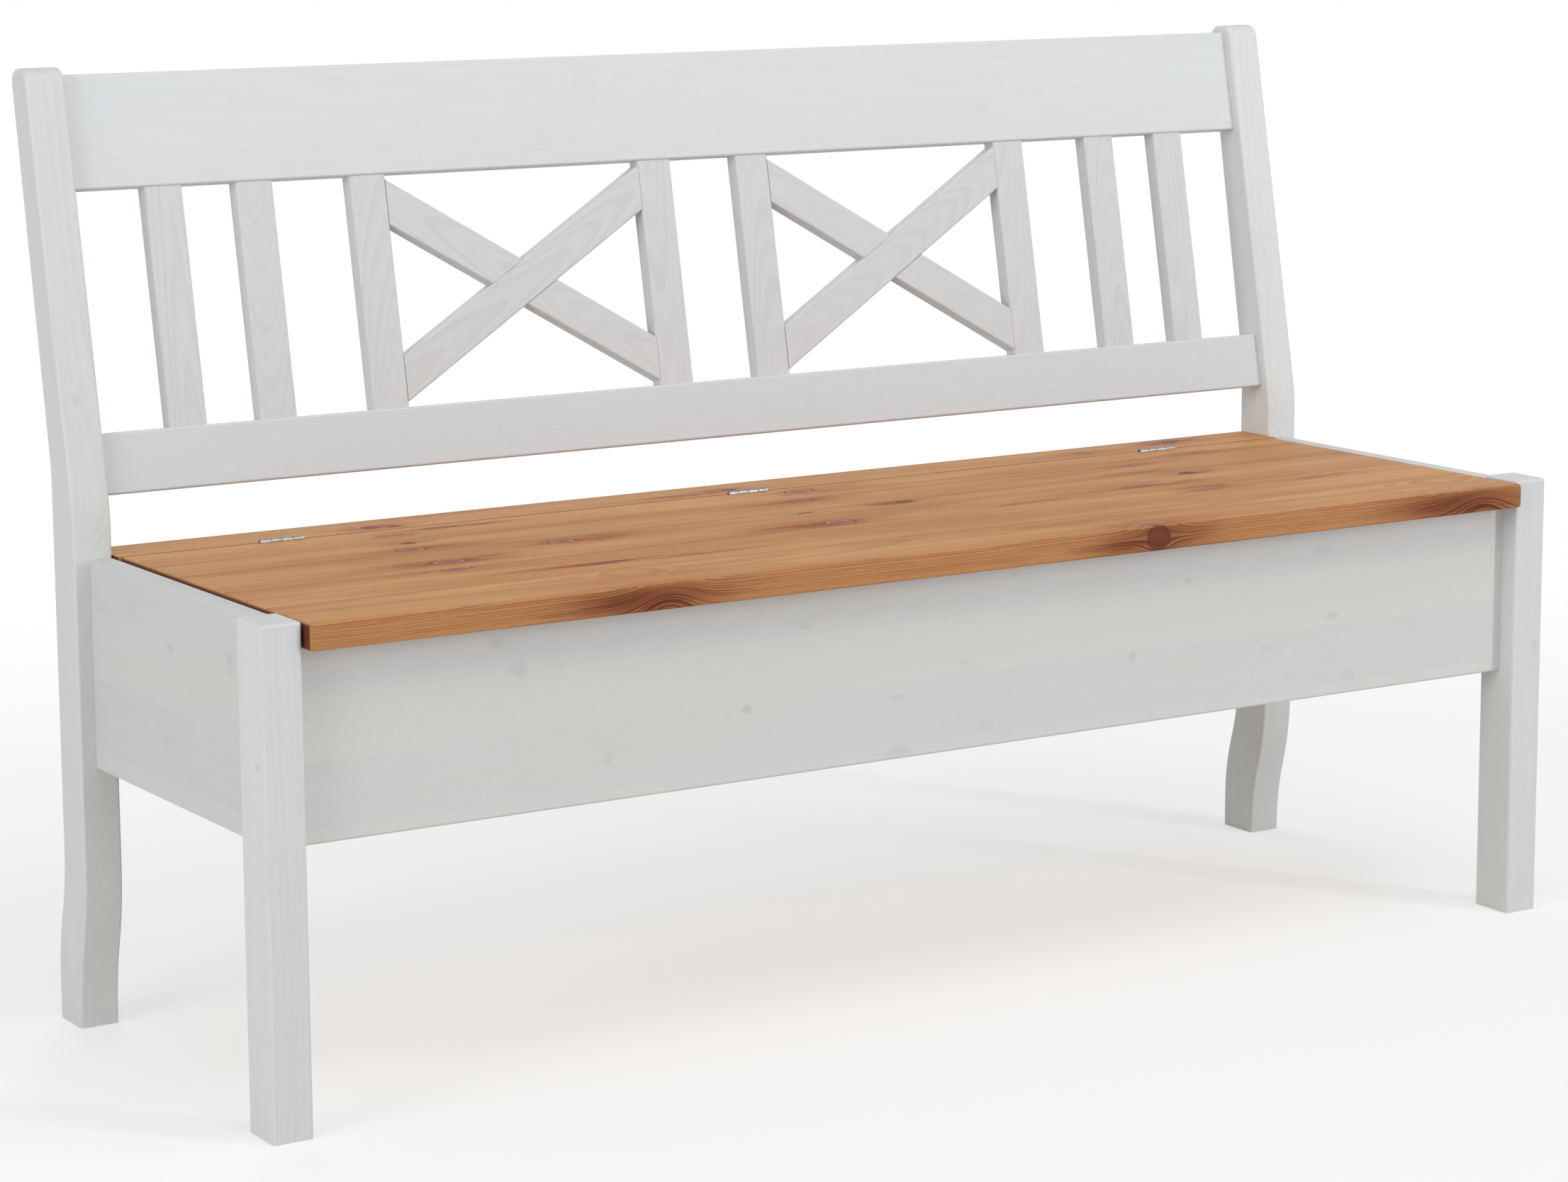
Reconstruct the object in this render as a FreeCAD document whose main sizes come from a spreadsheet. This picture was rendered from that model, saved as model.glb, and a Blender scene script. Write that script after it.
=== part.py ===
import FreeCAD, Part
import Sketcher
import os
import re

# Chest bench with a raked, open backrest and a hinged seat lid.
# Millimetres. +Z is up, the front looks along -Y, X runs along the bench.
# The origin is on the floor, under the middle of the whole bench.

doc = FreeCAD.newDocument("settle_bench")
sheet = doc.addObject("Spreadsheet::Sheet", "Sizes")

# Driving sizes
sizes = {
    "benchWidth": "1502",
    "benchHeight": "935",
    "seatHeight": "471",
    "chestDepth": "469",
    "postWidth": "40",
    "postDepth": "51",
    "postTopRise": "1.5",
    "postRound": "3",
    "panelThick": "23",
    "chestTall": "207",
    "sidePanelGap": "2",
    "frontRecess": "20.5",
    "backRecess": "12",
    "panelRound": "3",
    "tenonThick": "8",
    "tenonLength": "10",
    "tenonShoulder": "15",
    "tenonPlay": "0.5",
    "footKick": "21",
    "frontKickLow": "8",
    "frontKickHigh": "160",
    "backKickLow": "38",
    "backKickHigh": "178",
    "rakeAngle": "11",
    "frontBendRise": "43",
    "backBendRise": "80",
    "backAngle": "10",
    "bendRadius": "200",
    "postTopRound": "14",
    "railInset": "10",
    "railThick": "22",
    "lowerRailStart": "16",
    "lowerRailHeight": "60",
    "topRailDrop": "5",
    "topRailHeight": "112",
    "railRound": "2.5",
    "railTenonThick": "10",
    "railTenonLength": "12",
    "railTenonShoulder": "8",
    "slatWidth": "39.5",
    "slatThick": "18",
    "slatRound": "2",
    "slatTenonWidth": "28",
    "outerSlatInset": "95.5",
    "innerSlatInset": "192.5",
    "outerStileInset": "317",
    "innerStileAt": "60",
    "crossRailGap": "5",
    "dowelWidth": "6",
    "dowelInStile": "10",
    "dowelInBar": "16",
    "lidThick": "25",
    "lidOverhang": "10",
    "lidEndGap": "2.6",
    "lidRound": "2",
    "lidEndRound": "4",
    "boardShareOne": "0.2187",
    "boardShareTwo": "0.2211",
    "boardShareThree": "0.2357",
    "boardShareFour": "0.1628",
    "stripDeep": "66",
    "hingeGap": "3",
    "hingeRise": "0.5",
    "hingeInset": "172",
    "hingeWidth": "48",
    "hingeDrop": "20",
    "barrelWidth": "5",
    "pinWidth": "3",
    "pinPlay": "0.06",
    "knuckleGap": "0.6",
    "leafThick": "1.2",
    "leafFrom": "1.6",
    "leafNotchPlay": "0.5",
    "leafTopDrop": "3",
    "battenWidth": "45",
    "battenThick": "20",
    "battenFrontInset": "66",
    "battenBackInset": "15.5",
    "battenInset": "241",
    "battenRound": "3",
    "battenScrewInset": "12",
    "cleatWidth": "18",
    "cleatHeight": "20",
    "cleatLift": "3",
    "floorThick": "9",
    "floorPlay": "1",
    "stripBackInset": "2",
    "stripPlay": "0.5",
    "screwWidth": "3.5",
    "screwHeadWidth": "7",
    "screwHeadHeight": "2.2",
    "screwGrip": "14",
    "screwPlay": "0.1",
    "cleatScrewInset": "51",
    "leafScrewWidth": "3",
    "leafScrewHead": "5",
    "leafScrewSink": "0.8",
    "leafScrewLength": "16",
    "leafScrewPitch": "17",
    "leafScrewDrop": "12",
}

# Sizes that follow from the driving ones
derived = {
    "innerHalf": "benchWidth / 2 - postWidth",
    "rearFront": "chestDepth - postDepth",
    "panelBottom": "seatHeight - chestTall",
    "frontBend": "seatHeight + frontBendRise",
    "backBend": "seatHeight + backBendRise",
    "frontPostHeight": "seatHeight + postTopRise",
    "sidePanelTop": "seatHeight - sidePanelGap",
    "frontKickRadius": "(footKick ^ 2 + (frontKickHigh - frontKickLow) ^ 2) / (4 * footKick)",
    "backKickRadius": "(footKick ^ 2 + (backKickHigh - backKickLow) ^ 2) / (4 * footKick)",
    "frontKickMiddle": "(frontKickLow + frontKickHigh) / 2",
    "backKickMiddle": "(backKickLow + backKickHigh) / 2",
    "frontFoot": "rearFront + footKick",
    "frontFootMiddle": "rearFront + footKick / 2",
    "backFoot": "chestDepth + footKick",
    "backFootMiddle": "chestDepth + footKick / 2",
    "postTopFront": "rearFront + (benchHeight - frontBend) * tan(rakeAngle * 1deg)",
    "postTopBack": "chestDepth + (benchHeight - backBend) * tan(backAngle * 1deg)",
    "postReach": "postTopBack - postTopRound * (tan(backAngle * 1deg) + 1 / cos(backAngle * 1deg) - 1)",
    "frontY": "(lidOverhang - postReach) / 2",
    "lidBottom": "seatHeight - lidThick",
    "sidePanelHeight": "sidePanelTop - panelBottom",
    "frontPanelHeight": "lidBottom - panelBottom",
    "frontPanelBack": "frontRecess + panelThick",
    "backPanelFront": "chestDepth - backRecess - panelThick",
    "topRailStart": "(benchHeight - frontBend) / cos(rakeAngle * 1deg) - topRailDrop - topRailHeight",
    "slatInset": "railInset + (railThick - slatThick) / 2",
    "railMiddle": "railInset + railThick / 2",
    "outerSlatAt": "innerHalf - outerSlatInset",
    "innerSlatAt": "innerHalf - innerSlatInset",
    "outerStileAt": "innerHalf - outerStileInset",
    "slatStart": "lowerRailStart + lowerRailHeight",
    "slatLength": "topRailStart - slatStart",
    "crossMiddle": "slatStart + slatLength / 2",
    "crossSpan": "outerStileAt - innerStileAt - slatWidth",
    "crossAt": "(outerStileAt + innerStileAt) / 2",
    "crossTall": "slatLength - 2 * crossRailGap",
    "crossReach": "sqrt(crossSpan ^ 2 + crossTall ^ 2)",
    "crossEnd": "slatWidth / cos(acos(slatWidth / crossReach) - atan(crossSpan / crossTall))",
    "crossRise": "(crossTall - crossEnd) / 2",
    "crossLapHalf": "crossEnd / 2 * crossSpan / (2 * crossRise)",
    "lidHalf": "innerHalf - lidEndGap",
    "hingeLine": "chestDepth - stripDeep",
    "lidBack": "hingeLine - hingeGap / 2",
    "lidDepth": "lidBack + lidOverhang",
    "stripFront": "hingeLine + hingeGap / 2",
    "stripBack": "chestDepth - stripBackInset",
    "hingeHeight": "seatHeight + hingeRise",
    "hingePitch": "innerHalf - hingeInset",
    "knucklePitch": "hingeWidth / 4",
    "boardOne": "boardShareOne * lidDepth",
    "boardTwo": "boardShareTwo * lidDepth",
    "boardThree": "boardShareThree * lidDepth",
    "boardFour": "boardShareFour * lidDepth",
    "boardFive": "lidDepth - boardOne - boardTwo - boardThree - boardFour",
    "seamOne": "boardOne - lidOverhang",
    "seamTwo": "seamOne + boardTwo",
    "seamThree": "seamTwo + boardThree",
    "seamFour": "seamThree + boardFour",
    "battenStart": "battenFrontInset - lidOverhang",
    "battenLength": "lidDepth - battenFrontInset - battenBackInset",
    "battenPitch": "innerHalf - battenInset",
    "cleatBottom": "panelBottom + cleatLift",
    "cleatMiddle": "cleatBottom + cleatHeight / 2",
    "floorBottom": "cleatBottom + cleatHeight",
    "stripCleatBottom": "lidBottom - cleatHeight",
    "chestMiddle": "(frontPanelBack + backPanelFront) / 2",
    "cleatScrewPitch": "(innerHalf - cleatScrewInset) / 2",
    "sideScrewPitch": "(backPanelFront - frontPanelBack) / 3",
}


def fillSheet():
    rows = [(name, text) for name, text in sizes.items()]
    rows += [(name, "=" + text) for name, text in derived.items()]
    for row, (name, text) in enumerate(rows, 1):
        sheet.set("A%d" % row, name)
        sheet.set("B%d" % row, text)
        sheet.setAlias("B%d" % row, name)
    doc.recompute()


def linked(text):
    known = set(sizes) | set(derived)

    def mark(found):
        word = found.group(0)
        return "Sizes." + word if word in known else word

    return re.sub(r"[A-Za-z]\w*", mark, text)


def bind(thing, path, text):
    thing.setExpression(path, linked(text))


def size(name):
    return 0.0 if name == "0" else float(sheet.get(name))


fillSheet()
subparts = []

# Bodies. Chest pieces are drawn from the front posts' front face and the floor,
# backrest pieces from the line where the rear posts' front face starts to lean back.


def newBody(label, forward="frontY", up="0", along="0", lean=None):
    body = doc.addObject("PartDesign::Body", label)
    body.Label = label
    body.AllowCompound = True
    if lean:
        body.Placement = FreeCAD.Placement(FreeCAD.Vector(), FreeCAD.Rotation(FreeCAD.Vector(-1, 0, 0), 1))
        bind(body, "Placement.Rotation.Angle", lean)
    bind(body, "Placement.Base.x", along)
    bind(body, "Placement.Base.y", forward)
    bind(body, "Placement.Base.z", up)
    subparts.append(body)
    return body


def backrestBody(label):
    return newBody(label, "frontY + rearFront", "frontBend", lean="rakeAngle")


def hingeBody(label, step):
    return newBody(label, "frontY + hingeLine", "hingeHeight", along="%d * hingePitch" % step)


# Sketches on a body's own planes, and what is drawn in them


def sketchOn(body, name, plane, offset="0"):
    sketch = body.newObject("Sketcher::SketchObject", body.Name + "_" + name)
    face = next(part for part in body.Origin.OriginFeatures if part.Role == plane)
    sketch.AttachmentSupport = (face, "")
    sketch.MapMode = "FlatFace"
    sign = -1 if plane == "XZ_Plane" else 1
    bind(sketch, "AttachmentOffset.Base.z", "%d * (%s)" % (sign, offset))
    return sketch


def fix(sketch, kind, where, start, text):
    index = sketch.addConstraint(Sketcher.Constraint(kind, *where, start))
    sketch.renameConstraint(index, "size%d" % index)
    bind(sketch, "Constraints.size%d" % index, text)


def rectangle(sketch, left, low, wide, tall):
    first = sketch.GeometryCount
    corners = [FreeCAD.Vector(*point) for point in ((1, 1), (2, 1), (2, 2), (1, 2))]
    for turn in range(4):
        sketch.addGeometry(Part.LineSegment(corners[turn], corners[(turn + 1) % 4]), False)
    for turn in range(4):
        after = first + (turn + 1) % 4
        sketch.addConstraint(Sketcher.Constraint("Coincident", first + turn, 2, after, 1))
        level = "Horizontal" if turn % 2 == 0 else "Vertical"
        sketch.addConstraint(Sketcher.Constraint(level, first + turn))
    fix(sketch, "DistanceX", (-1, 1, first, 1), 1.0, left)
    fix(sketch, "DistanceY", (-1, 1, first, 1), 1.0, low)
    fix(sketch, "DistanceX", (first, 1, first, 2), 1.0, wide)
    fix(sketch, "DistanceY", (first + 1, 1, first + 1, 2), 1.0, tall)


def circles(sketch, centres, wide):
    for across, up in centres:
        ring = Part.Circle(FreeCAD.Vector(1, 1, 0), FreeCAD.Vector(0, 0, 1), 2)
        index = sketch.addGeometry(ring, False)
        fix(sketch, "DistanceX", (-1, 1, index, 3), 1.0, across)
        fix(sketch, "DistanceY", (-1, 1, index, 3), 1.0, up)
        fix(sketch, "Diameter", (index,), 4.0, wide)


def arcBetween(start, end, radius, bulge):
    middle = (start + end) * 0.5
    along = end - start
    across = FreeCAD.Vector(-along.y, along.x, 0).normalize()
    rise = radius - (radius ** 2 - (along.Length / 2) ** 2) ** 0.5
    return Part.Arc(start, middle + across * rise * bulge, end)


def outline(sketch, corners, arcs):
    points = [FreeCAD.Vector(size(across), size(up), 0) for across, up in corners]
    count = len(points)
    ends = []
    for turn, start in enumerate(points):
        end = points[(turn + 1) % count]
        if turn in arcs:
            radius, bulge = arcs[turn]
            index = sketch.addGeometry(arcBetween(start, end, size(radius), bulge), False)
            forward = sketch.getPoint(index, 1).distanceToPoint(start) < 0.01
            ends.append((1, 2) if forward else (2, 1))
        else:
            index = sketch.addGeometry(Part.LineSegment(start, end), False)
            ends.append((1, 2))
    for turn in range(count):
        after = (turn + 1) % count
        sketch.addConstraint(Sketcher.Constraint("Coincident", turn, ends[turn][1], after, ends[after][0]))
        where = (-1, 1, turn, ends[turn][0])
        fix(sketch, "DistanceX", where, points[turn].x, corners[turn][0])
        fix(sketch, "DistanceY", where, points[turn].y, corners[turn][1])
        if turn in arcs:
            fix(sketch, "Radius", (turn,), size(arcs[turn][0]), arcs[turn][0])


# Solids from sketches. way is +1 or -1 along the axis that stands on the sketch's plane.


def turned(sketch, way, cutting):
    plane = sketch.AttachmentSupport[0][0].Role
    natural = -1 if plane == "XZ_Plane" else 1
    return way != (-natural if cutting else natural)


def pad(body, sketch, length, way=1):
    feature = body.newObject("PartDesign::Pad", sketch.Name + "_pad")
    feature.Profile = sketch
    feature.Reversed = turned(sketch, way, cutting=False)
    bind(feature, "Length", length)
    doc.recompute()


def pocket(body, sketch, depth, way):
    before = body.Tip.Shape.Volume
    feature = body.newObject("PartDesign::Pocket", sketch.Name + "_pocket")
    feature.Profile = sketch
    feature.Reversed = turned(sketch, way, cutting=True)
    bind(feature, "Length", depth)
    doc.recompute()
    if not feature.Shape.Volume < before - 0.01:
        raise RuntimeError("nothing was cut by " + feature.Name)


def roundEdges(body, name, radius, test):
    base = body.Tip
    names = ["Edge%d" % index for index, edge in enumerate(base.Shape.Edges, 1) if test(edge.BoundBox)]
    if not names:
        raise RuntimeError("no edges to round on " + body.Name)
    feature = body.newObject("PartDesign::Fillet", body.Name + "_" + name)
    feature.Base = (base, names)
    bind(feature, "Radius", radius)
    doc.recompute()


def near(value, targets):
    return any(abs(value - target) < 0.01 for target in targets)


def level(low, high, value):
    return near(low, (value,)) and near(high, (value,))


def alongX(box):
    return box.YLength < 0.01 and box.ZLength < 0.01


def alongY(box):
    return box.XLength < 0.01 and box.ZLength < 0.01


def alongZ(box):
    return box.XLength < 0.01 and box.YLength < 0.01


def block(body, left, front, low, wide, deep, tall, name="outline"):
    sketch = sketchOn(body, name, "XY_Plane", low)
    rectangle(sketch, left, front, wide, deep)
    pad(body, sketch, tall)


def middled(middle, wide):
    return "%s - (%s) / 2" % (middle, wide)


# Screws with a flat-bottomed head, and the holes that take them


def screws(body, name, plane, seat, centres, way, length):
    shanks = sketchOn(body, name + "_shanks", plane, seat)
    circles(shanks, centres, "screwWidth")
    pad(body, shanks, length, way)
    heads = sketchOn(body, name + "_heads", plane, seat)
    circles(heads, centres, "screwHeadWidth")
    pad(body, heads, "screwHeadHeight", -way)


def holes(body, name, plane, start, centres, way, depth, wide="screwWidth + 2 * screwPlay"):
    sketch = sketchOn(body, name, plane, start)
    circles(sketch, centres, wide)
    pocket(body, sketch, depth, way)


def spaced(pitch, steps, other):
    return [("%s * %s" % (step, pitch), other) for step in steps]


backSteps = (-2, -1, 0, 1, 2)
betweenSteps = (-1.5, -0.5, 0.5, 1.5)
sideSteps = (-1, 0, 1)
hingeSteps = (-1, 0, 1)


def sideCentres():
    return [("chestMiddle + %d * sideScrewPitch" % step, "cleatMiddle") for step in sideSteps]


# Front posts: upright, with blind mortises for the front and the side panel


def panelMortise(body, side, front, depth="tenonLength + tenonPlay"):
    sketch = sketchOn(body, "panel_mortise", "YZ_Plane", "%d * innerHalf" % side)
    deep = "frontPanelHeight - 2 * tenonShoulder"
    rectangle(sketch, front, "panelBottom + tenonShoulder", "tenonThick", deep)
    pocket(body, sketch, depth, side)


def sideMortise(body, side, start, way):
    sketch = sketchOn(body, "side_mortise", "XZ_Plane", start)
    middle = "%d * (innerHalf + panelThick / 2)" % side
    tall = "sidePanelHeight - 2 * tenonShoulder"
    rectangle(sketch, middled(middle, "tenonThick"), "panelBottom + tenonShoulder", "tenonThick", tall)
    pocket(body, sketch, "tenonLength + tenonPlay", way)


def frontPost(label, side):
    body = newBody(label)
    left = middled("%d * (innerHalf + postWidth / 2)" % side, "postWidth")
    block(body, left, "0", "0", "postWidth", "postDepth", "frontPostHeight")
    top = size("frontPostHeight") - 0.01
    roundEdges(body, "ease", "postRound", lambda box: alongZ(box) or box.ZMin > top)
    panelMortise(body, side, "frontRecess + (panelThick - tenonThick) / 2")
    sideMortise(body, side, "postDepth", -1)


# Rear posts: sawn to shape, kicked back at the foot and raked above the seat


def rearPost(label, side):
    body = newBody(label)
    left = middled("%d * (innerHalf + postWidth / 2)" % side, "postWidth")
    sketch = sketchOn(body, "outline", "YZ_Plane", left)
    corners = (
        ("frontFoot", "0"),
        ("backFoot", "0"),
        ("backFoot", "backKickLow"),
        ("backFootMiddle", "backKickMiddle"),
        ("chestDepth", "backKickHigh"),
        ("chestDepth", "backBend"),
        ("postTopBack", "benchHeight"),
        ("postTopFront", "benchHeight"),
        ("rearFront", "frontBend"),
        ("rearFront", "frontKickHigh"),
        ("frontFootMiddle", "frontKickMiddle"),
        ("frontFoot", "frontKickLow"),
    )
    arcs = {
        2: ("backKickRadius", -1),
        3: ("backKickRadius", 1),
        9: ("frontKickRadius", -1),
        10: ("frontKickRadius", 1),
    }
    outline(sketch, corners, arcs)
    pad(body, sketch, "postWidth")
    bends = (size("frontBend"), size("backBend"))
    roundEdges(body, "bends", "bendRadius", lambda box: alongX(box) and near(box.ZMin, bends))
    top = size("benchHeight")
    roundEdges(body, "top", "postTopRound", lambda box: alongX(box) and near(box.ZMin, (top,)))
    roundEdges(body, "ease", "postRound", lambda box: box.XLength < 0.01 and box.ZMax > 0.01)
    panelMortise(body, side, "backPanelFront + (panelThick - tenonThick) / 2")
    sideMortise(body, side, "rearFront", 1)
    railMortises(body, side)


def railMortises(body, side):
    sketch = sketchOn(body, "rail_mortises", "YZ_Plane", "%d * innerHalf" % side)
    offset = sketch.AttachmentOffset
    offset.Rotation = FreeCAD.Rotation(FreeCAD.Vector(0, 0, -1), 1)
    sketch.AttachmentOffset = offset
    bind(sketch, "AttachmentOffset.Rotation.Angle", "rakeAngle")
    bind(sketch, "AttachmentOffset.Base.x", "rearFront")
    bind(sketch, "AttachmentOffset.Base.y", "frontBend")
    for low, tall in (("lowerRailStart", "lowerRailHeight"), ("topRailStart", "topRailHeight")):
        front = middled("railMiddle", "railTenonThick")
        deep = tall + " - 2 * railTenonShoulder"
        rectangle(sketch, front, low + " + railTenonShoulder", "railTenonThick", deep)
    pocket(body, sketch, "railTenonLength + tenonPlay", side)


# Chest panels: glued up from boards, each with a stub tenon at both ends


def longPanel(label, front):
    body = newBody(label)
    block(body, "-1 * innerHalf", front, "panelBottom", "2 * innerHalf", "panelThick", "frontPanelHeight")
    low = size("panelBottom")
    roundEdges(body, "ease", "panelRound", lambda box: alongX(box) and near(box.ZMin, (low,)))
    reach = "(innerHalf + tenonLength)"
    inset = front + " + (panelThick - tenonThick) / 2"
    block(body, "-1 * " + reach, inset, "panelBottom + tenonShoulder", "2 * " + reach, "tenonThick",
          "frontPanelHeight - 2 * tenonShoulder", "tenons")
    return body


def frontPanel():
    body = longPanel("front_panel", "frontRecess")
    centres = spaced("cleatScrewPitch", backSteps, "cleatMiddle")
    holes(body, "cleat_holes", "XZ_Plane", "frontPanelBack", centres, -1, "screwGrip + 1")


def backPanel():
    body = longPanel("back_panel", "backPanelFront")
    centres = spaced("cleatScrewPitch", backSteps, "cleatMiddle")
    centres += spaced("cleatScrewPitch", backSteps, "stripCleatBottom + cleatHeight / 2")
    holes(body, "cleat_holes", "XZ_Plane", "backPanelFront", centres, 1, "screwGrip + 1")


def sidePanel(label, side):
    body = newBody(label)
    middle = "%d * (innerHalf + panelThick / 2)" % side
    deep = "rearFront - postDepth"
    left = middled(middle, "panelThick")
    block(body, left, "postDepth", "panelBottom", "panelThick", deep, "sidePanelHeight")
    top = size("sidePanelTop")
    roundEdges(body, "ease", "panelRound", lambda box: alongY(box) and near(box.ZMin, (top,)))
    block(body, middled(middle, "tenonThick"), "postDepth - tenonLength", "panelBottom + tenonShoulder",
          "tenonThick", deep + " + 2 * tenonLength", "sidePanelHeight - 2 * tenonShoulder", "tenons")
    holes(body, "cleat_holes", "YZ_Plane", "%d * innerHalf" % side, sideCentres(), side, "screwGrip + 1")


# Chest floor on four cleats, and the cleat that carries the fixed seat strip


def longCleat(label, front, low, way):
    body = newBody(label)
    half = "(innerHalf - floorPlay)"
    block(body, "-1 * " + half, front, low, "2 * " + half, "cleatWidth", "cleatHeight")
    start = front if way > 0 else front + " + cleatWidth"
    centres = spaced("cleatScrewPitch", backSteps, low + " + cleatHeight / 2")
    holes(body, "wall_holes", "XZ_Plane", start, centres, way, "cleatWidth + 1")
    return body


def sideCleat(label, side):
    body = newBody(label)
    middle = "%d * (innerHalf - cleatWidth / 2)" % side
    deep = "backPanelFront - frontPanelBack - 2 * cleatWidth"
    block(body, middled(middle, "cleatWidth"), "frontPanelBack + cleatWidth", "cleatBottom",
          "cleatWidth", deep, "cleatHeight")
    start = "%d * (innerHalf - cleatWidth)" % side
    holes(body, "wall_holes", "YZ_Plane", start, sideCentres(), side, "cleatWidth + 1")


def chestFloor():
    body = newBody("chest_floor")
    half = "(innerHalf - floorPlay)"
    deep = "backPanelFront - frontPanelBack - 2 * floorPlay"
    block(body, "-1 * " + half, "frontPanelBack + floorPlay", "floorBottom",
          "2 * " + half, deep, "floorThick")


def cleatScrews():
    body = newBody("floor_cleat_screws")
    length = "cleatWidth + screwGrip"
    centres = spaced("cleatScrewPitch", backSteps, "cleatMiddle")
    screws(body, "front", "XZ_Plane", "frontPanelBack + cleatWidth", centres, -1, length)
    screws(body, "back", "XZ_Plane", "backPanelFront - cleatWidth", centres, 1, length)
    for name, side in (("left", -1), ("right", 1)):
        screws(body, name, "YZ_Plane", "%d * (innerHalf - cleatWidth)" % side, sideCentres(), side, length)


def stripCentres():
    return spaced("cleatScrewPitch", betweenSteps, "backPanelFront - cleatWidth / 2")


def stripCleat():
    body = longCleat("strip_cleat", "backPanelFront - cleatWidth", "stripCleatBottom", 1)
    holes(body, "strip_holes", "XY_Plane", "stripCleatBottom", stripCentres(), 1, "cleatHeight + 1")


def stripScrews():
    body = newBody("strip_cleat_screws")
    centres = spaced("cleatScrewPitch", backSteps, "stripCleatBottom + cleatHeight / 2")
    screws(body, "wall", "XZ_Plane", "backPanelFront - cleatWidth", centres, 1, "cleatWidth + screwGrip")
    screws(body, "strip", "XY_Plane", "stripCleatBottom", stripCentres(), 1, "cleatHeight + screwGrip")


# Backrest rails: stub tenons into the rear posts, mortises for slats and stiles

slatPlaces = ("outerSlatAt", "innerSlatAt", "outerStileAt", "innerStileAt")


def rail(label, low, tall, slatLevel, way):
    body = backrestBody(label)
    block(body, "-1 * innerHalf", "railInset", low, "2 * innerHalf", "railThick", tall)
    roundEdges(body, "ease", "railRound", alongX)
    reach = "(innerHalf + railTenonLength)"
    front = middled("railMiddle", "railTenonThick")
    block(body, "-1 * " + reach, front, low + " + railTenonShoulder", "2 * " + reach, "railTenonThick",
          tall + " - 2 * railTenonShoulder", "tenons")
    sketch = sketchOn(body, "slat_mortises", "XY_Plane", slatLevel)
    for side in (-1, 1):
        for spot in slatPlaces:
            left = middled("%d * %s" % (side, spot), "slatTenonWidth")
            rectangle(sketch, left, middled("railMiddle", "tenonThick"), "slatTenonWidth", "tenonThick")
    pocket(body, sketch, "railTenonLength + tenonPlay", way)


def slat(label, middle, dowelSides=()):
    body = backrestBody(label)
    left = middled(middle, "slatWidth")
    block(body, left, "slatInset", "slatStart", "slatWidth", "slatThick", "slatLength")
    roundEdges(body, "ease", "slatRound", alongZ)
    left, front = middled(middle, "slatTenonWidth"), middled("railMiddle", "tenonThick")
    block(body, left, front, "slatStart - railTenonLength",
          "slatTenonWidth", "tenonThick", "slatLength + 2 * railTenonLength", "tenons")
    for side in dowelSides:
        start = "%s + %d * slatWidth / 2" % (middle, side)
        deep, wide = "dowelInStile + tenonPlay", "dowelWidth + 2 * screwPlay"
        holes(body, "dowel_holes", "YZ_Plane", start, dowelCentres((-1, 1)), -side, deep, wide)


def dowelCentres(levels):
    return [("railMiddle", "crossMiddle + %d * crossRise" % step) for step in levels]


# Crossed bars between the stiles: one runs through in front, the two are halved where they cross


def crossBar(label, side, rising):
    body = backrestBody(label)
    middle = "%d * crossAt" % side
    sketch = sketchOn(body, "outline", "XZ_Plane", "slatInset")
    slantedBar(sketch, middle, rising)
    pad(body, sketch, "slatThick", 1)
    half = size("crossSpan") / 2
    roundEdges(body, "ease", "slatRound", lambda box: box.XLength > half and box.YLength < 0.01)
    lap = sketchOn(body, "lap", "XZ_Plane", "railMiddle")
    lapOutline(lap, middle)
    pocket(body, lap, "slatThick", 1 if rising > 0 else -1)
    wide = "dowelWidth + 2 * screwPlay"
    for end in (-1, 1):
        start = "%s + %d * crossSpan / 2" % (middle, end)
        centres = dowelCentres((end * rising,))
        holes(body, "dowel_hole", "YZ_Plane", start, centres, -end, "dowelInBar + tenonPlay", wide)


def slantedBar(sketch, middle, rising):
    corners = []
    for end, edge in ((-1, -1), (1, -1), (1, 1), (-1, 1)):
        across = "%s + %d * crossSpan / 2" % (middle, end)
        up = "crossMiddle + %d * crossRise + %d * crossEnd / 2" % (end * rising, edge)
        corners.append((across, up))
    upward = ((-9, -7), (9, 5), (9, 7), (-9, -5))
    downward = ((-9, 5), (9, -7), (9, -5), (-9, 7))
    polygon(sketch, corners, upward if rising > 0 else downward)


def lapOutline(sketch, middle):
    corners = (
        (middle, "crossMiddle - crossEnd / 2"),
        (middle + " + crossLapHalf", "crossMiddle"),
        (middle, "crossMiddle + crossEnd / 2"),
        (middle + " - crossLapHalf", "crossMiddle"),
    )
    polygon(sketch, corners, ((0, -5), (8, 0), (0, 5), (-8, 0)))


def polygon(sketch, corners, rough):
    points = [FreeCAD.Vector(across, up, 0) for across, up in rough]
    count = len(points)
    for turn in range(count):
        sketch.addGeometry(Part.LineSegment(points[turn], points[(turn + 1) % count]), False)
    for turn, (across, up) in enumerate(corners):
        sketch.addConstraint(Sketcher.Constraint("Coincident", turn, 2, (turn + 1) % count, 1))
        fix(sketch, "DistanceX", (-1, 1, turn, 1), points[turn].x, across)
        fix(sketch, "DistanceY", (-1, 1, turn, 1), points[turn].y, up)


def crossDowels():
    body = backrestBody("cross_dowels")
    for side in (-1, 1):
        for end in (-1, 1):
            start = "%d * crossAt + %d * (crossSpan / 2 + dowelInStile)" % (side, end)
            pins = sketchOn(body, "pins", "YZ_Plane", start)
            circles(pins, dowelCentres((-1, 1)), "dowelWidth")
            pad(body, pins, "dowelInStile + dowelInBar", -end)


# Seat: a fixed strip at the back and a lid of five boards on three battens


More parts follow.
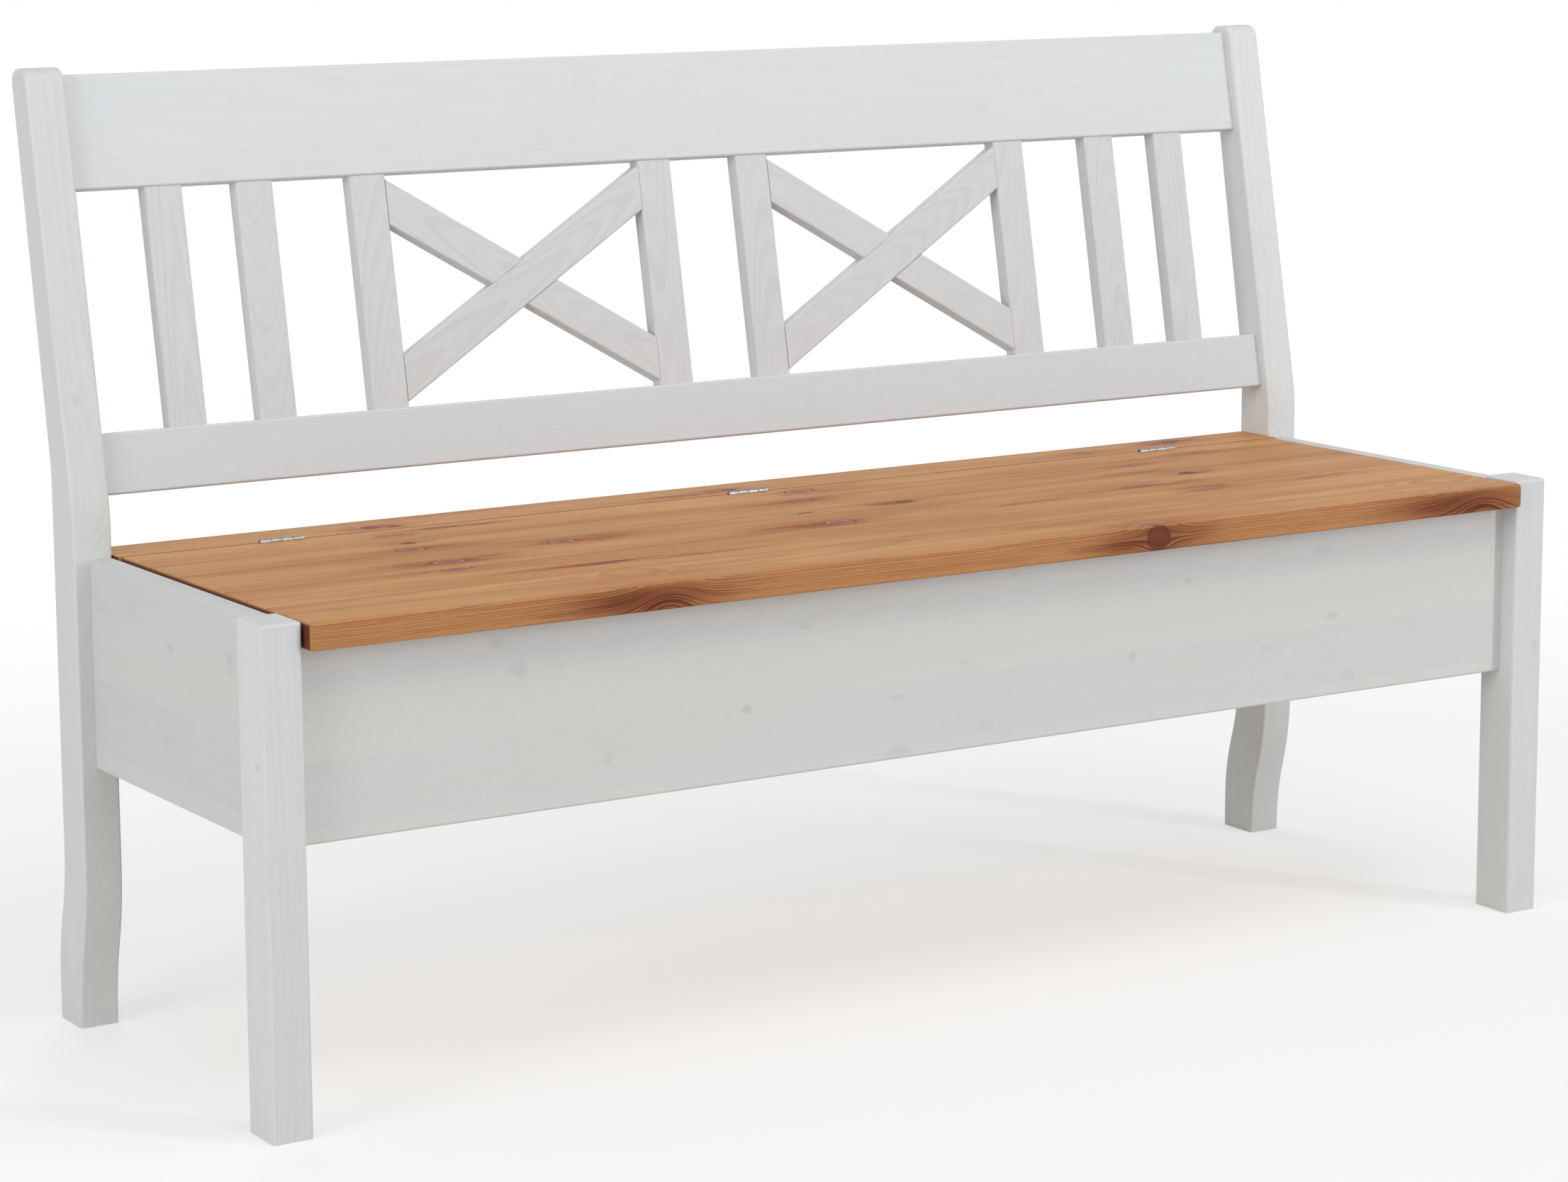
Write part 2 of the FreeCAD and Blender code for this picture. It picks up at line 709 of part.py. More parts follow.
def hingeNotches(body, front, deep):
    sketch = sketchOn(body, "hinge_notches", "XY_Plane", "seatHeight")
    wide = "hingeWidth + 2 * leafNotchPlay"
    for step in hingeSteps:
        rectangle(sketch, middled("%d * hingePitch" % step, wide), front, wide, deep)
    pocket(body, sketch, "hingeDrop - hingeRise + leafNotchPlay", -1)


def leafCentres(step):
    up = "hingeHeight - leafScrewDrop"
    return [("%d * hingePitch + %d * leafScrewPitch" % (step, place), up) for place in (-1, 0, 1)]


def leafHoles(body, start, way):
    centres = [centre for step in hingeSteps for centre in leafCentres(step)]
    deep, wide = "leafScrewLength + 1", "leafScrewWidth + 2 * screwPlay"
    holes(body, "leaf_holes", "XZ_Plane", start, centres, way, deep, wide)


def seatStrip():
    body = newBody("seat_strip")
    half = "(innerHalf - stripPlay)"
    block(body, "-1 * " + half, "stripFront", "lidBottom",
          "2 * " + half, "stripBack - stripFront", "lidThick")
    top, back = size("seatHeight"), size("stripBack")
    roundEdges(body, "ease", "lidRound", lambda box: near(box.ZMin, (top,)) and near(box.YMin, (back,)))
    hingeNotches(body, "stripFront - 1", "leafFrom + leafThick - hingeGap / 2 + 1")
    leafHoles(body, "stripFront - 1", 1)
    holes(body, "cleat_holes", "XY_Plane", "lidBottom", stripCentres(), 1, "screwGrip + 1")


lidBoards = (
    ("lid_board_1", "-1 * lidOverhang", "boardOne", "battenStart + battenScrewInset"),
    ("lid_board_2", "seamOne", "boardTwo", "seamOne + boardTwo / 2"),
    ("lid_board_3", "seamTwo", "boardThree", "seamTwo + boardThree / 2"),
    ("lid_board_4", "seamThree", "boardFour", "seamThree + boardFour / 2"),
    ("lid_board_5", "seamFour", "boardFive", "battenStart + battenLength - 2 * battenScrewInset"),
)


def lidBoard(label, front, deep, screwAt):
    body = newBody(label)
    block(body, "-1 * lidHalf", front, "lidBottom", "2 * lidHalf", deep, "lidThick")
    roundEdges(body, "ends", "lidEndRound", alongY)
    if label == "lid_board_1":
        lip = -size("lidOverhang")
        roundEdges(body, "lip", "lidRound", lambda box: level(box.YMin, box.YMax, lip))
    if label == "lid_board_5":
        hingeNotches(body, "hingeLine - leafFrom - leafThick", "leafFrom + leafThick")
        leafHoles(body, "lidBack + 1", -1)
    centres = spaced("battenPitch", hingeSteps, screwAt)
    holes(body, "batten_holes", "XY_Plane", "lidBottom", centres, 1, "screwGrip + 1")


def battenCentres(step):
    return [("%d * battenPitch" % step, screwAt) for label, front, deep, screwAt in lidBoards]


def lidBatten(label, step):
    body = newBody(label)
    low = "lidBottom - battenThick"
    left = middled("%d * battenPitch" % step, "battenWidth")
    block(body, left, "battenStart", low, "battenWidth", "battenLength", "battenThick")
    bottom = size("lidBottom") - size("battenThick")
    roundEdges(body, "ease", "battenRound", lambda box: level(box.ZMin, box.ZMax, bottom))
    holes(body, "board_holes", "XY_Plane", low, battenCentres(step), 1, "battenThick + 1")


def battenScrews():
    body = newBody("lid_batten_screws")
    length = "battenThick + screwGrip"
    for step in hingeSteps:
        screws(body, "lift", "XY_Plane", "lidBottom - battenThick", battenCentres(step), 1, length)


# Butt hinges, drawn around their own pin: a leaf on the strip, a leaf on the lid, and the pin


def hingeLeaf(label, step, side):
    body = hingeBody(label, step)
    front = "leafFrom" if side > 0 else "-1 * (leafFrom + leafThick)"
    block(body, "-1 * hingeWidth / 2", front, "-1 * hingeDrop",
          "hingeWidth", "leafThick", "hingeDrop - leafTopDrop")
    wide = "knucklePitch - knuckleGap"
    knuckles = (1, 3) if side > 0 else (0, 2)
    tabs = sketchOn(body, "tabs", "XY_Plane", "-1 * leafTopDrop")
    lefts = ["%d * knucklePitch - hingeWidth / 2 + knuckleGap / 2" % number for number in knuckles]
    for left in lefts:
        rectangle(tabs, left, front, wide, "leafThick")
    pad(body, tabs, "leafTopDrop")
    for left in lefts:
        barrel = sketchOn(body, "barrel", "YZ_Plane", left)
        circles(barrel, (("0", "0"),), "barrelWidth")
        pad(body, barrel, wide)
    bore = "pinWidth + 2 * pinPlay"
    holes(body, "bore", "YZ_Plane", "-1 * hingeWidth", (("0", "0"),), 1, "2 * hingeWidth", bore)
    centres = [("%d * leafScrewPitch" % spot, "-1 * leafScrewDrop") for spot in (-1, 0, 1)]
    shank, head = "leafScrewWidth + 2 * screwPlay", "leafScrewHead + 2 * screwPlay"
    holes(body, "screw_holes", "XZ_Plane", "0", centres, side, "2 * leafFrom + leafThick", shank)
    holes(body, "screw_sinks", "XZ_Plane", "0", centres, side, "leafFrom + leafScrewSink", head)


def hingePin(label, step):
    body = hingeBody(label, step)
    sketch = sketchOn(body, "pin", "YZ_Plane", "knuckleGap / 2 - hingeWidth / 2")
    circles(sketch, (("0", "0"),), "pinWidth")
    pad(body, sketch, "hingeWidth - knuckleGap")


def leafScrews(label, side):
    body = newBody(label)
    for step in hingeSteps:
        seat = "hingeLine + %d * (leafFrom + leafScrewSink)" % side
        shanks = sketchOn(body, "shanks", "XZ_Plane", seat)
        circles(shanks, leafCentres(step), "leafScrewWidth")
        pad(body, shanks, "leafScrewLength - 2 * leafScrewSink", side)
        heads = sketchOn(body, "heads", "XZ_Plane", seat)
        circles(heads, leafCentres(step), "leafScrewHead")
        pad(body, heads, "leafScrewSink", -side)


# The whole bench

for name, side in (("left", -1), ("right", 1)):
    frontPost("front_post_" + name, side)
    rearPost("rear_post_" + name, side)
    sidePanel("side_panel_" + name, side)
    sideCleat("floor_cleat_" + name, side)

frontPanel()
backPanel()
longCleat("floor_cleat_front", "frontPanelBack", "cleatBottom", -1)
longCleat("floor_cleat_back", "backPanelFront - cleatWidth", "cleatBottom", 1)
chestFloor()
cleatScrews()
stripCleat()
stripScrews()
seatStrip()

rail("lower_rail", "lowerRailStart", "lowerRailHeight", "slatStart", -1)
rail("top_rail", "topRailStart", "topRailHeight", "topRailStart", 1)
slat("slat_1", "-1 * outerSlatAt")
slat("slat_2", "-1 * innerSlatAt")
slat("slat_3", "innerSlatAt")
slat("slat_4", "outerSlatAt")
slat("stile_1", "-1 * outerStileAt", (1,))
slat("stile_2", "-1 * innerStileAt", (-1,))
slat("stile_3", "innerStileAt", (1,))
slat("stile_4", "outerStileAt", (-1,))
crossBar("cross_bar_left_front", -1, 1)
crossBar("cross_bar_left_back", -1, -1)
crossBar("cross_bar_right_front", 1, 1)
crossBar("cross_bar_right_back", 1, -1)
crossDowels()

for label, front, deep, screwAt in lidBoards:
    lidBoard(label, front, deep, screwAt)
for number, step in enumerate(hingeSteps, 1):
    lidBatten("lid_batten_%d" % number, step)
    hingeLeaf("hinge_leaf_fixed_%d" % number, step, 1)
    hingeLeaf("hinge_leaf_lid_%d" % number, step, -1)
    hingePin("hinge_pin_%d" % number, step)
battenScrews()
leafScrews("hinge_screws_fixed", 1)
leafScrews("hinge_screws_lid", -1)

# Checks, then one file for each sub-part


def check():
    doc.recompute()
    for thing in doc.Objects:
        if "Invalid" in thing.State or "Error" in thing.State:
            raise RuntimeError("failed: %s %s" % (thing.Name, thing.State))
    for body in subparts:
        if body.Shape.isNull() or not body.Shape.isValid() or not body.Shape.Solids:
            raise RuntimeError("bad shape: " + body.Label)


def write():
    os.makedirs("parts", exist_ok=True)
    for body in subparts:
        body.Shape.exportStep("parts/%s.step" % body.Label)
        box = body.Shape.BoundBox
        corners = (box.XMin, box.YMin, box.ZMin, box.XMax, box.YMax, box.ZMax)
        print(body.Label, len(body.Shape.Solids), " ".join("%.1f" % value for value in corners))


check()
write()
print(len(subparts), "sub-parts")
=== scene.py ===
import math
import bmesh
import bpy
from mathutils import Matrix, Vector


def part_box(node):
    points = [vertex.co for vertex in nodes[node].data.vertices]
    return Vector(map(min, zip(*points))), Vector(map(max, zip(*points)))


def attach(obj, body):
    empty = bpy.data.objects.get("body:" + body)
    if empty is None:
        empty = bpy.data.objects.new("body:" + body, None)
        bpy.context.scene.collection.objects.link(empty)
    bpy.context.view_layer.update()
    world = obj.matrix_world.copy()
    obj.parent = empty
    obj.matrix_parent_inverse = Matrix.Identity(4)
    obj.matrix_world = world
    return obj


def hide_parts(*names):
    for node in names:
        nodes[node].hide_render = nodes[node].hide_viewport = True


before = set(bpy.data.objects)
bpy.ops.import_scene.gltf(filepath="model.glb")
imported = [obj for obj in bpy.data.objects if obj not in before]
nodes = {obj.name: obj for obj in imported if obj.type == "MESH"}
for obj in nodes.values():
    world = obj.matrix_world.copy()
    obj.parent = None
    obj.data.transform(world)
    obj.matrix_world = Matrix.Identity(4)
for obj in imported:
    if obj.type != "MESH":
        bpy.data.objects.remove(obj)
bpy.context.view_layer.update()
print("bench loaded:", len(nodes), "nodes")


# Small helpers for building node trees

def colour(red, green, blue):
    def linear(value):
        value = value / 255
        return value / 12.92 if value <= 0.04045 else ((value + 0.055) / 1.055) ** 2.4
    return (linear(red), linear(green), linear(blue), 1)


def put(tree, kind, inputs, **settings):
    node = tree.nodes.new(kind)
    for name, value in settings.items():
        setattr(node, name, value)
    for name, value in inputs.items():
        if isinstance(value, bpy.types.NodeSocket):
            tree.links.new(value, node.inputs[name])
        else:
            node.inputs[name].default_value = value
    return node


def maths(tree, operation, *values, clamp=False):
    node = put(tree, "ShaderNodeMath", dict(enumerate(values)), operation=operation, use_clamp=clamp)
    return node.outputs[0]


def times(tree, *values, clamp=False):
    return maths(tree, "MULTIPLY", *values, clamp=clamp)


def vectors(tree, operation, first, second=None, scale=None):
    inputs = {0: first}
    if second is not None:
        inputs[1] = second
    if scale is not None:
        inputs["Scale"] = scale
    node = put(tree, "ShaderNodeVectorMath", inputs, operation=operation)
    return node.outputs["Value" if operation in ("LENGTH", "DOT_PRODUCT", "DISTANCE") else "Vector"]


def ramp(tree, value, start, end, low=0.0, high=1.0):  # eased step between start and end
    inputs = {"Value": value, "From Min": start, "From Max": end, "To Min": low, "To Max": high}
    return put(tree, "ShaderNodeMapRange", inputs, interpolation_type="SMOOTHSTEP").outputs[0]


def mixed(tree, factor, first, second, how="MIX"):
    node = put(tree, "ShaderNodeMix", {0: factor, 6: first, 7: second}, data_type="RGBA", blend_type=how)
    return node.outputs[2]


def noise(tree, vector, detail=2.0, roughness=0.5, scale=1.0):
    inputs = {"Vector": vector, "Scale": scale, "Detail": detail, "Roughness": roughness}
    return put(tree, "ShaderNodeTexNoise", inputs)


def split(tree, vector):
    return put(tree, "ShaderNodeSeparateXYZ", {"Vector": vector}).outputs


def joined(tree, x, y, z):
    return put(tree, "ShaderNodeCombineXYZ", {0: x, 1: y, 2: z}).outputs[0]


def newGroup(name, inputs, outputs):  # an input whose default is a tuple is a vector
    tree = bpy.data.node_groups.new(name, "ShaderNodeTree")
    for label, value in inputs.items():
        kind = "NodeSocketVector" if isinstance(value, tuple) else "NodeSocketFloat"
        tree.interface.new_socket(label, in_out="INPUT", socket_type=kind).default_value = value
    for label, kind in outputs.items():
        tree.interface.new_socket(label, in_out="OUTPUT", socket_type="NodeSocket" + kind)
    return tree, tree.nodes.new("NodeGroupInput").outputs, tree.nodes.new("NodeGroupOutput").inputs


def useGroup(tree, group, **inputs):
    return put(tree, "ShaderNodeGroup", inputs, node_tree=group).outputs


def newMaterial(name):
    material = bpy.data.materials.new(name)
    material.use_nodes = True
    return material, material.node_tree, material.node_tree.nodes["Principled BSDF"]


def finishSurface(tree, surface, shade, rough, height, depth):
    tree.links.new(shade, surface.inputs["Base Color"])
    tree.links.new(rough, surface.inputs["Roughness"])
    bump = put(tree, "ShaderNodeBump", {"Height": height, "Distance": depth})
    tree.links.new(bump.outputs[0], surface.inputs["Normal"])


def inScene(name, data):
    thing = bpy.data.objects.new(name, data)
    bpy.context.scene.collection.objects.link(thing)
    return thing


# Wood: growth rings round a pith line that runs along X, so end grain and faces agree

def makeRings():
    tree, given, out = newGroup(
        "pineRings",
        {"Place": (0, 0, 0), "Seed": 0, "RingWidth": 0.0026, "Waver": 0.006},
        {"Rings": "Float", "Fibre": "Float", "Streak": "Float", "Cloud": "Float"},
    )
    place = given["Place"]
    shift = vectors(tree, "SCALE", (3.1, 1.7, 2.3), scale=given["Seed"])
    slow = noise(tree, vectors(tree, "ADD", vectors(tree, "MULTIPLY", place, (1.6, 9, 9)), shift), 2.5)
    sway = vectors(tree, "SUBTRACT", slow.outputs[1], (0.5, 0.5, 0.5))
    sway = vectors(tree, "SCALE", sway, scale=times(tree, given["Waver"], 2.0))
    fibre = noise(tree, vectors(tree, "ADD", vectors(tree, "MULTIPLY", place, (22, 1100, 1100)), shift), 3, 0.65)
    cloud = noise(tree, vectors(tree, "ADD", vectors(tree, "MULTIPLY", place, (2.4, 22, 22)), shift), 3)
    streak = noise(tree, vectors(tree, "ADD", vectors(tree, "MULTIPLY", place, (13, 270, 270)), shift), 2, 0.6)
    across = vectors(tree, "MULTIPLY", vectors(tree, "ADD", place, sway), (0, 1, 1))
    radius = vectors(tree, "LENGTH", across)
    ragged = maths(tree, "MULTIPLY_ADD", fibre.outputs[0], 0.0006, radius)
    phase = maths(tree, "DIVIDE", ragged, given["RingWidth"])
    pace = noise(tree, joined(tree, times(tree, phase, 0.31), given["Seed"], 0.0), 1)
    phase = maths(tree, "MULTIPLY_ADD", pace.outputs[0], 2.4, phase)
    part = maths(tree, "FRACT", phase)
    year = joined(tree, maths(tree, "FLOOR", phase), given["Seed"], 0.0)
    strength = put(tree, "ShaderNodeTexWhiteNoise", {"Vector": year}, noise_dimensions="3D").outputs[0]
    late = times(tree, ramp(tree, part, 0.2, 0.86), ramp(tree, part, 1.0, 0.9))
    late = times(tree, late, ramp(tree, strength, 0.0, 1.0, 0.4, 1.0))
    tree.links.new(late, out["Rings"])
    tree.links.new(fibre.outputs[0], out["Fibre"])
    tree.links.new(streak.outputs[0], out["Streak"])
    tree.links.new(cloud.outputs[0], out["Cloud"])
    return tree


# A knot pushes the grain aside. Marks carries x: how strongly it shows, above 1 for a dark one,
# y: closeness to its heart (0.5 at its edge), z: the flared grain beside it

def makeKnot():
    tree, given, out = newGroup(
        "pineKnot",
        {"Place": (0, 0, 0), "Bent": (0, 0, 0), "Marks": (0, 0, 0), "Ragged": 0, "Centre": (0, 0, 0),
         "Radii": (1, 1, 1), "Pull": 0.9, "Spread": 1.7, "Strength": 1, "Flare": 0.5, "Drift": 0},
        {"Bent": "Vector", "Marks": "Vector"},
    )
    away = vectors(tree, "SUBTRACT", given["Place"], given["Centre"])
    scaled = vectors(tree, "DIVIDE", away, given["Radii"])
    edge = maths(tree, "ADD", vectors(tree, "LENGTH", scaled), given["Ragged"])

    def bell(reach):
        wide = maths(tree, "DIVIDE", reach, given["Spread"])
        return maths(tree, "EXPONENT", times(tree, times(tree, wide, wide), -1.0))
    push = times(tree, bell(vectors(tree, "LENGTH", scaled)), times(tree, given["Pull"], -1.0))
    push = vectors(tree, "SCALE", vectors(tree, "MULTIPLY", away, (0, 1, 1)), scale=push)
    shows = times(tree, ramp(tree, edge, 1.35, 1.15), given["Strength"])
    close = maths(tree, "MAXIMUM", maths(tree, "SUBTRACT", 1.5, edge), 0.0)
    aside = vectors(tree, "SUBTRACT", scaled, joined(tree, given["Drift"], 0.0, 0.0))
    flare = bell(vectors(tree, "LENGTH", vectors(tree, "MULTIPLY", aside, (0.45, 1, 1))))
    flare = times(tree, flare, given["Flare"])
    marks = vectors(tree, "MAXIMUM", given["Marks"], joined(tree, shows, close, flare))
    tree.links.new(vectors(tree, "ADD", given["Bent"], push), out["Bent"])
    tree.links.new(marks, out["Marks"])
    return tree


# Panels are glued up from narrower boards: each gets its own stretch of grain, every other one is creamier

def makeBoards():
    tree, given, out = newGroup(
        "gluedBoards",
        {"Place": (0, 0, 0), "Seed": 0, "BoardWidth": 0.06},
        {"Shift": "Vector", "Tone": "Float", "Seam": "Float"},
    )
    level = maths(tree, "DIVIDE", split(tree, given["Place"])[1], given["BoardWidth"])
    board = joined(tree, maths(tree, "FLOOR", level), given["Seed"], 0.0)
    chance = put(tree, "ShaderNodeTexWhiteNoise", {"Vector": board}, noise_dimensions="3D")
    shift = vectors(tree, "SUBTRACT", chance.outputs["Color"], (0.5, 0.5, 0.5))
    tree.links.new(vectors(tree, "MULTIPLY", shift, (1.2, 0.05, 0.04)), out["Shift"])
    turn = maths(tree, "FLOORED_MODULO", maths(tree, "FLOOR", level), 2.0)
    tone = maths(tree, "MULTIPLY_ADD", chance.outputs["Value"], 0.25, maths(tree, "MULTIPLY_ADD", turn, 0.5, 0.12))
    tree.links.new(tone, out["Tone"])
    middle = maths(tree, "ABSOLUTE", maths(tree, "SUBTRACT", maths(tree, "FRACT", level), 0.5))
    tree.links.new(ramp(tree, middle, 0.488, 0.498), out["Seam"])
    return tree


whiteStain = {
    "light": (215, 217, 217),
    # cool is a bluish white; part of it is painted light: a cool cast that offsets the warm light the honey lid
    # bounces onto the rails
    "cool": (207, 212, 217),
    "shade": (196, 197, 198),
    "cream": (217, 214, 204),
    "knot": (194, 195, 194),
    "knotEdge": (176, 176, 174),
}

honeyStain = {
    "pale": (204, 152, 94),
    "warm": (188, 130, 74),
    "late": (148, 82, 36),
    "glint": (226, 178, 120),
    "flare": (148, 68, 22),
    "edge": (190, 134, 84),
    "edgeLate": (108, 54, 26),
    "edgeDark": (66, 26, 12),
    "edgeFlare": (134, 68, 34),
    "knotFace": (150, 92, 76),
    "knotTurn": (112, 62, 50),
    "knotRim": (214, 170, 134),
    "knotEdge": (92, 42, 28),
    "darkKnot": (124, 60, 32),
    "darkTurn": (74, 34, 20),
    "seam": (120, 70, 42),
    "endGrain": (98, 50, 28),
}

plainWood = {
    "light": (222, 190, 145),
    "late": (186, 140, 92),
    "knot": (122, 76, 46),
}


def makeWhiteFinish():
    tree, given, out = newGroup(
        "whiteStainedPine",
        {"Rings": 0, "Fibre": 0.5, "Cloud": 0.5, "Marks": (0, 0, 0), "Face": (0, 0, 1), "Tone": 0.5,
         "Seam": 0, "Grain": 0.3, "Cream": 0.3, "Cool": 0, "Bright": 1},
        {"Color": "Color", "Roughness": "Float", "Height": "Float"},
    )
    look = {name: colour(*value) for name, value in whiteStain.items()}
    shows, close, flare = split(tree, given["Marks"])
    streak = ramp(tree, given["Fibre"], 0.35, 0.75)
    grain = times(tree, given["Rings"], given["Grain"])
    grain = maths(tree, "MULTIPLY_ADD", flare, times(tree, grain, 1.2), grain)
    tint = times(tree, ramp(tree, given["Cloud"], 0.42, 0.72), given["Cream"])
    # Cool mixes in the bluish white, partly a painted cool cast against the lid's warm bounced light
    shade = mixed(tree, given["Cool"], look["light"], look["cool"])
    shade = mixed(tree, tint, shade, look["cream"])
    shade = mixed(tree, times(tree, streak, 0.16), shade, look["shade"])
    shade = mixed(tree, times(tree, grain, 1.0, clamp=True), shade, look["shade"])
    boardTint = times(tree, ramp(tree, given["Tone"], 0.5, 0.8), given["Cream"])
    shade = mixed(tree, times(tree, boardTint, 0.8), shade, look["cream"])
    inside = times(tree, ramp(tree, close, 0.15, 1.15), shows)
    inside = times(tree, inside, ramp(tree, given["Fibre"], 0.3, 0.6, 0.45, 1.0))
    shade = mixed(tree, times(tree, inside, 0.75), shade, look["knot"])
    line = times(tree, ramp(tree, close, 0.3, 0.5), ramp(tree, close, 0.75, 0.52))
    shade = mixed(tree, times(tree, times(tree, line, shows), 0.12), shade, look["knotEdge"])
    shade = mixed(tree, times(tree, given["Seam"], 0.15), shade, look["shade"])
    end = ramp(tree, maths(tree, "ABSOLUTE", split(tree, given["Face"])[0]), 0.75, 0.95)
    cut = times(tree, end, maths(tree, "MULTIPLY_ADD", given["Rings"], 0.4, 0.15))
    shade = mixed(tree, cut, shade, look["shade"])
    # Bright scales the colour per piece; on the rails and the right rear post it is partly painted light
    level = times(tree, ramp(tree, given["Tone"], 0.0, 1.0, 0.985, 1.015), given["Bright"])
    tree.links.new(mixed(tree, 1.0, shade, joined(tree, level, level, level), "MULTIPLY"), out["Color"])
    tree.links.new(ramp(tree, given["Fibre"], 0.2, 0.8, 0.46, 0.56), out["Roughness"])
    height = maths(tree, "MULTIPLY_ADD", given["Rings"], given["Grain"], streak)
    tree.links.new(maths(tree, "MULTIPLY_ADD", inside, -0.5, height), out["Height"])
    return tree


def makeHoneyFinish():
    tree, given, out = newGroup(
        "honeyStainedPine",
        {"Rings": 0, "Fibre": 0.5, "Streak": 0.5, "Cloud": 0.5, "Marks": (0, 0, 0),
         "Face": (0, 0, 1), "Tone": 0.5, "Seam": 0, "Grain": 0.4},
        {"Color": "Color", "Roughness": "Float", "Height": "Float"},
    )
    look = {name: colour(*value) for name, value in honeyStain.items()}
    shows, close, flare = split(tree, given["Marks"])
    face = split(tree, given["Face"])
    side = ramp(tree, maths(tree, "ABSOLUTE", face[1]), 0.5, 0.9)
    end = ramp(tree, maths(tree, "ABSOLUTE", face[0]), 0.5, 0.9)
    streak = ramp(tree, given["Fibre"], 0.35, 0.8)
    grain = times(tree, given["Rings"], given["Grain"])
    top = mixed(tree, ramp(tree, given["Cloud"], 0.35, 0.68), look["pale"], look["warm"])
    top = mixed(tree, grain, top, look["late"])
    top = mixed(tree, ramp(tree, given["Streak"], 0.5, 0.7, 0.0, 0.14), top, look["late"])
    flared = times(tree, flare, ramp(tree, given["Streak"], 0.34, 0.56, 0.15, 1.25), clamp=True)
    top = mixed(tree, flared, top, look["flare"])
    burnt = times(tree, flare, ramp(tree, given["Fibre"], 0.2, 0.6, 0.55, 1.0), clamp=True)
    edge = mixed(tree, burnt, look["edge"], look["edgeFlare"])
    lines = times(tree, given["Rings"], maths(tree, "MULTIPLY_ADD", flare, 0.55, 0.48))
    lines = times(tree, lines, ramp(tree, given["Fibre"], 0.25, 0.65, 0.5, 1.3), clamp=True)
    edge = mixed(tree, lines, edge, mixed(tree, flare, look["edgeLate"], look["edgeDark"]))
    shade = mixed(tree, side, top, edge)
    shade = mixed(tree, times(tree, streak, 0.26), shade, look["late"])
    shade = mixed(tree, ramp(tree, given["Fibre"], 0.36, 0.2, 0.0, 0.3), shade, look["glint"])
    seam = times(tree, given["Seam"], ramp(tree, given["Cloud"], 0.3, 0.65, 0.4, 0.85))
    shade = mixed(tree, seam, shade, look["seam"])
    inside = times(tree, ramp(tree, close, 0.44, 0.58), maths(tree, "MINIMUM", shows, 1.0))
    line = times(tree, ramp(tree, close, 0.3, 0.48), ramp(tree, close, 0.68, 0.52))
    line = times(tree, line, maths(tree, "MINIMUM", shows, 1.0))
    turns = ramp(tree, maths(tree, "SINE", times(tree, close, 36.0)), -1.0, 1.0)
    paleKnot = mixed(tree, times(tree, turns, 0.6), look["knotFace"], look["knotTurn"])
    rim = times(tree, ramp(tree, close, 0.85, 0.62), ramp(tree, given["Streak"], 0.35, 0.6))
    paleKnot = mixed(tree, rim, paleKnot, look["knotRim"])
    darkKnot = mixed(tree, turns, look["darkKnot"], look["darkTurn"])
    knot = mixed(tree, maths(tree, "MAXIMUM", ramp(tree, shows, 1.0, 2.0), side), paleKnot, darkKnot)
    knot = mixed(tree, ramp(tree, close, 1.25, 1.45, 0.0, 0.7), knot, look["knotEdge"])
    shade = mixed(tree, times(tree, inside, 0.9), shade, knot)
    shade = mixed(tree, times(tree, line, 0.85), shade, look["knotEdge"])
    cut = mixed(tree, times(tree, given["Rings"], 0.6), look["endGrain"], look["darkTurn"])
    shade = mixed(tree, end, shade, cut)
    tone = ramp(tree, given["Tone"], 0.0, 1.0, 0.9, 1.08)
    tree.links.new(mixed(tree, 1.0, shade, joined(tree, tone, tone, tone), "MULTIPLY"), out["Color"])
    tree.links.new(ramp(tree, given["Fibre"], 0.2, 0.8, 0.46, 0.58), out["Roughness"])
    height = maths(tree, "MULTIPLY_ADD", grain, 1.6, streak)
    height = maths(tree, "MULTIPLY_ADD", seam, -2.0, height)
    tree.links.new(maths(tree, "MULTIPLY_ADD", inside, -0.8, height), out["Height"])
    return tree


def makePlainFinish():
    tree, given, out = newGroup(
        "plainPine",
        {"Rings": 0, "Fibre": 0.5, "Cloud": 0.5, "Marks": (0, 0, 0), "Tone": 0.5, "Grain": 0.7},
        {"Color": "Color", "Roughness": "Float", "Height": "Float"},
    )
    look = {name: colour(*value) for name, value in plainWood.items()}
    shows, close, flare = split(tree, given["Marks"])
    streak = ramp(tree, given["Fibre"], 0.35, 0.8)
    grain = maths(tree, "MULTIPLY_ADD", flare, 0.3, times(tree, given["Rings"], given["Grain"]))
    shade = mixed(tree, grain, look["light"], look["late"])
    shade = mixed(tree, times(tree, streak, 0.25), shade, look["late"])
    shade = mixed(tree, times(tree, ramp(tree, close, 0.4, 0.6), shows), shade, look["knot"])
    tone = ramp(tree, maths(tree, "ADD", times(tree, given["Cloud"], 0.5), given["Tone"]), 0.2, 1.3, 0.88, 1.05)
    tree.links.new(mixed(tree, 1.0, shade, joined(tree, tone, tone, tone), "MULTIPLY"), out["Color"])
    tree.links.new(ramp(tree, given["Fibre"], 0.2, 0.8, 0.62, 0.78), out["Roughness"])
    tree.links.new(maths(tree, "ADD", given["Rings"], streak), out["Height"])
    return tree


ringsGroup = makeRings()
knotGroup = makeKnot()
boardsGroup = makeBoards()
finishes = {
    "white": {"group": makeWhiteFinish(), "bump": 0.00008, "specular": 0.3, "ragged": 1.3},
    "honey": {"group": makeHoneyFinish(), "bump": 0.00010, "specular": 0.22, "ragged": 0.42},
    "plain": {"group": makePlainFinish(), "bump": 0.00025, "specular": 0.3, "ragged": 0.6},
}
print("wood groups ready")


def woodFrame(grain, across, heart):  # turns the part's frame so that the grain runs along X from the heart
    grain = Vector(grain).normalized()
    across = (Vector(across) - grain * grain.dot(Vector(across))).normalized()
    turn = Matrix((grain, across, grain.cross(across)))
    return turn, -(turn @ Vector(heart))


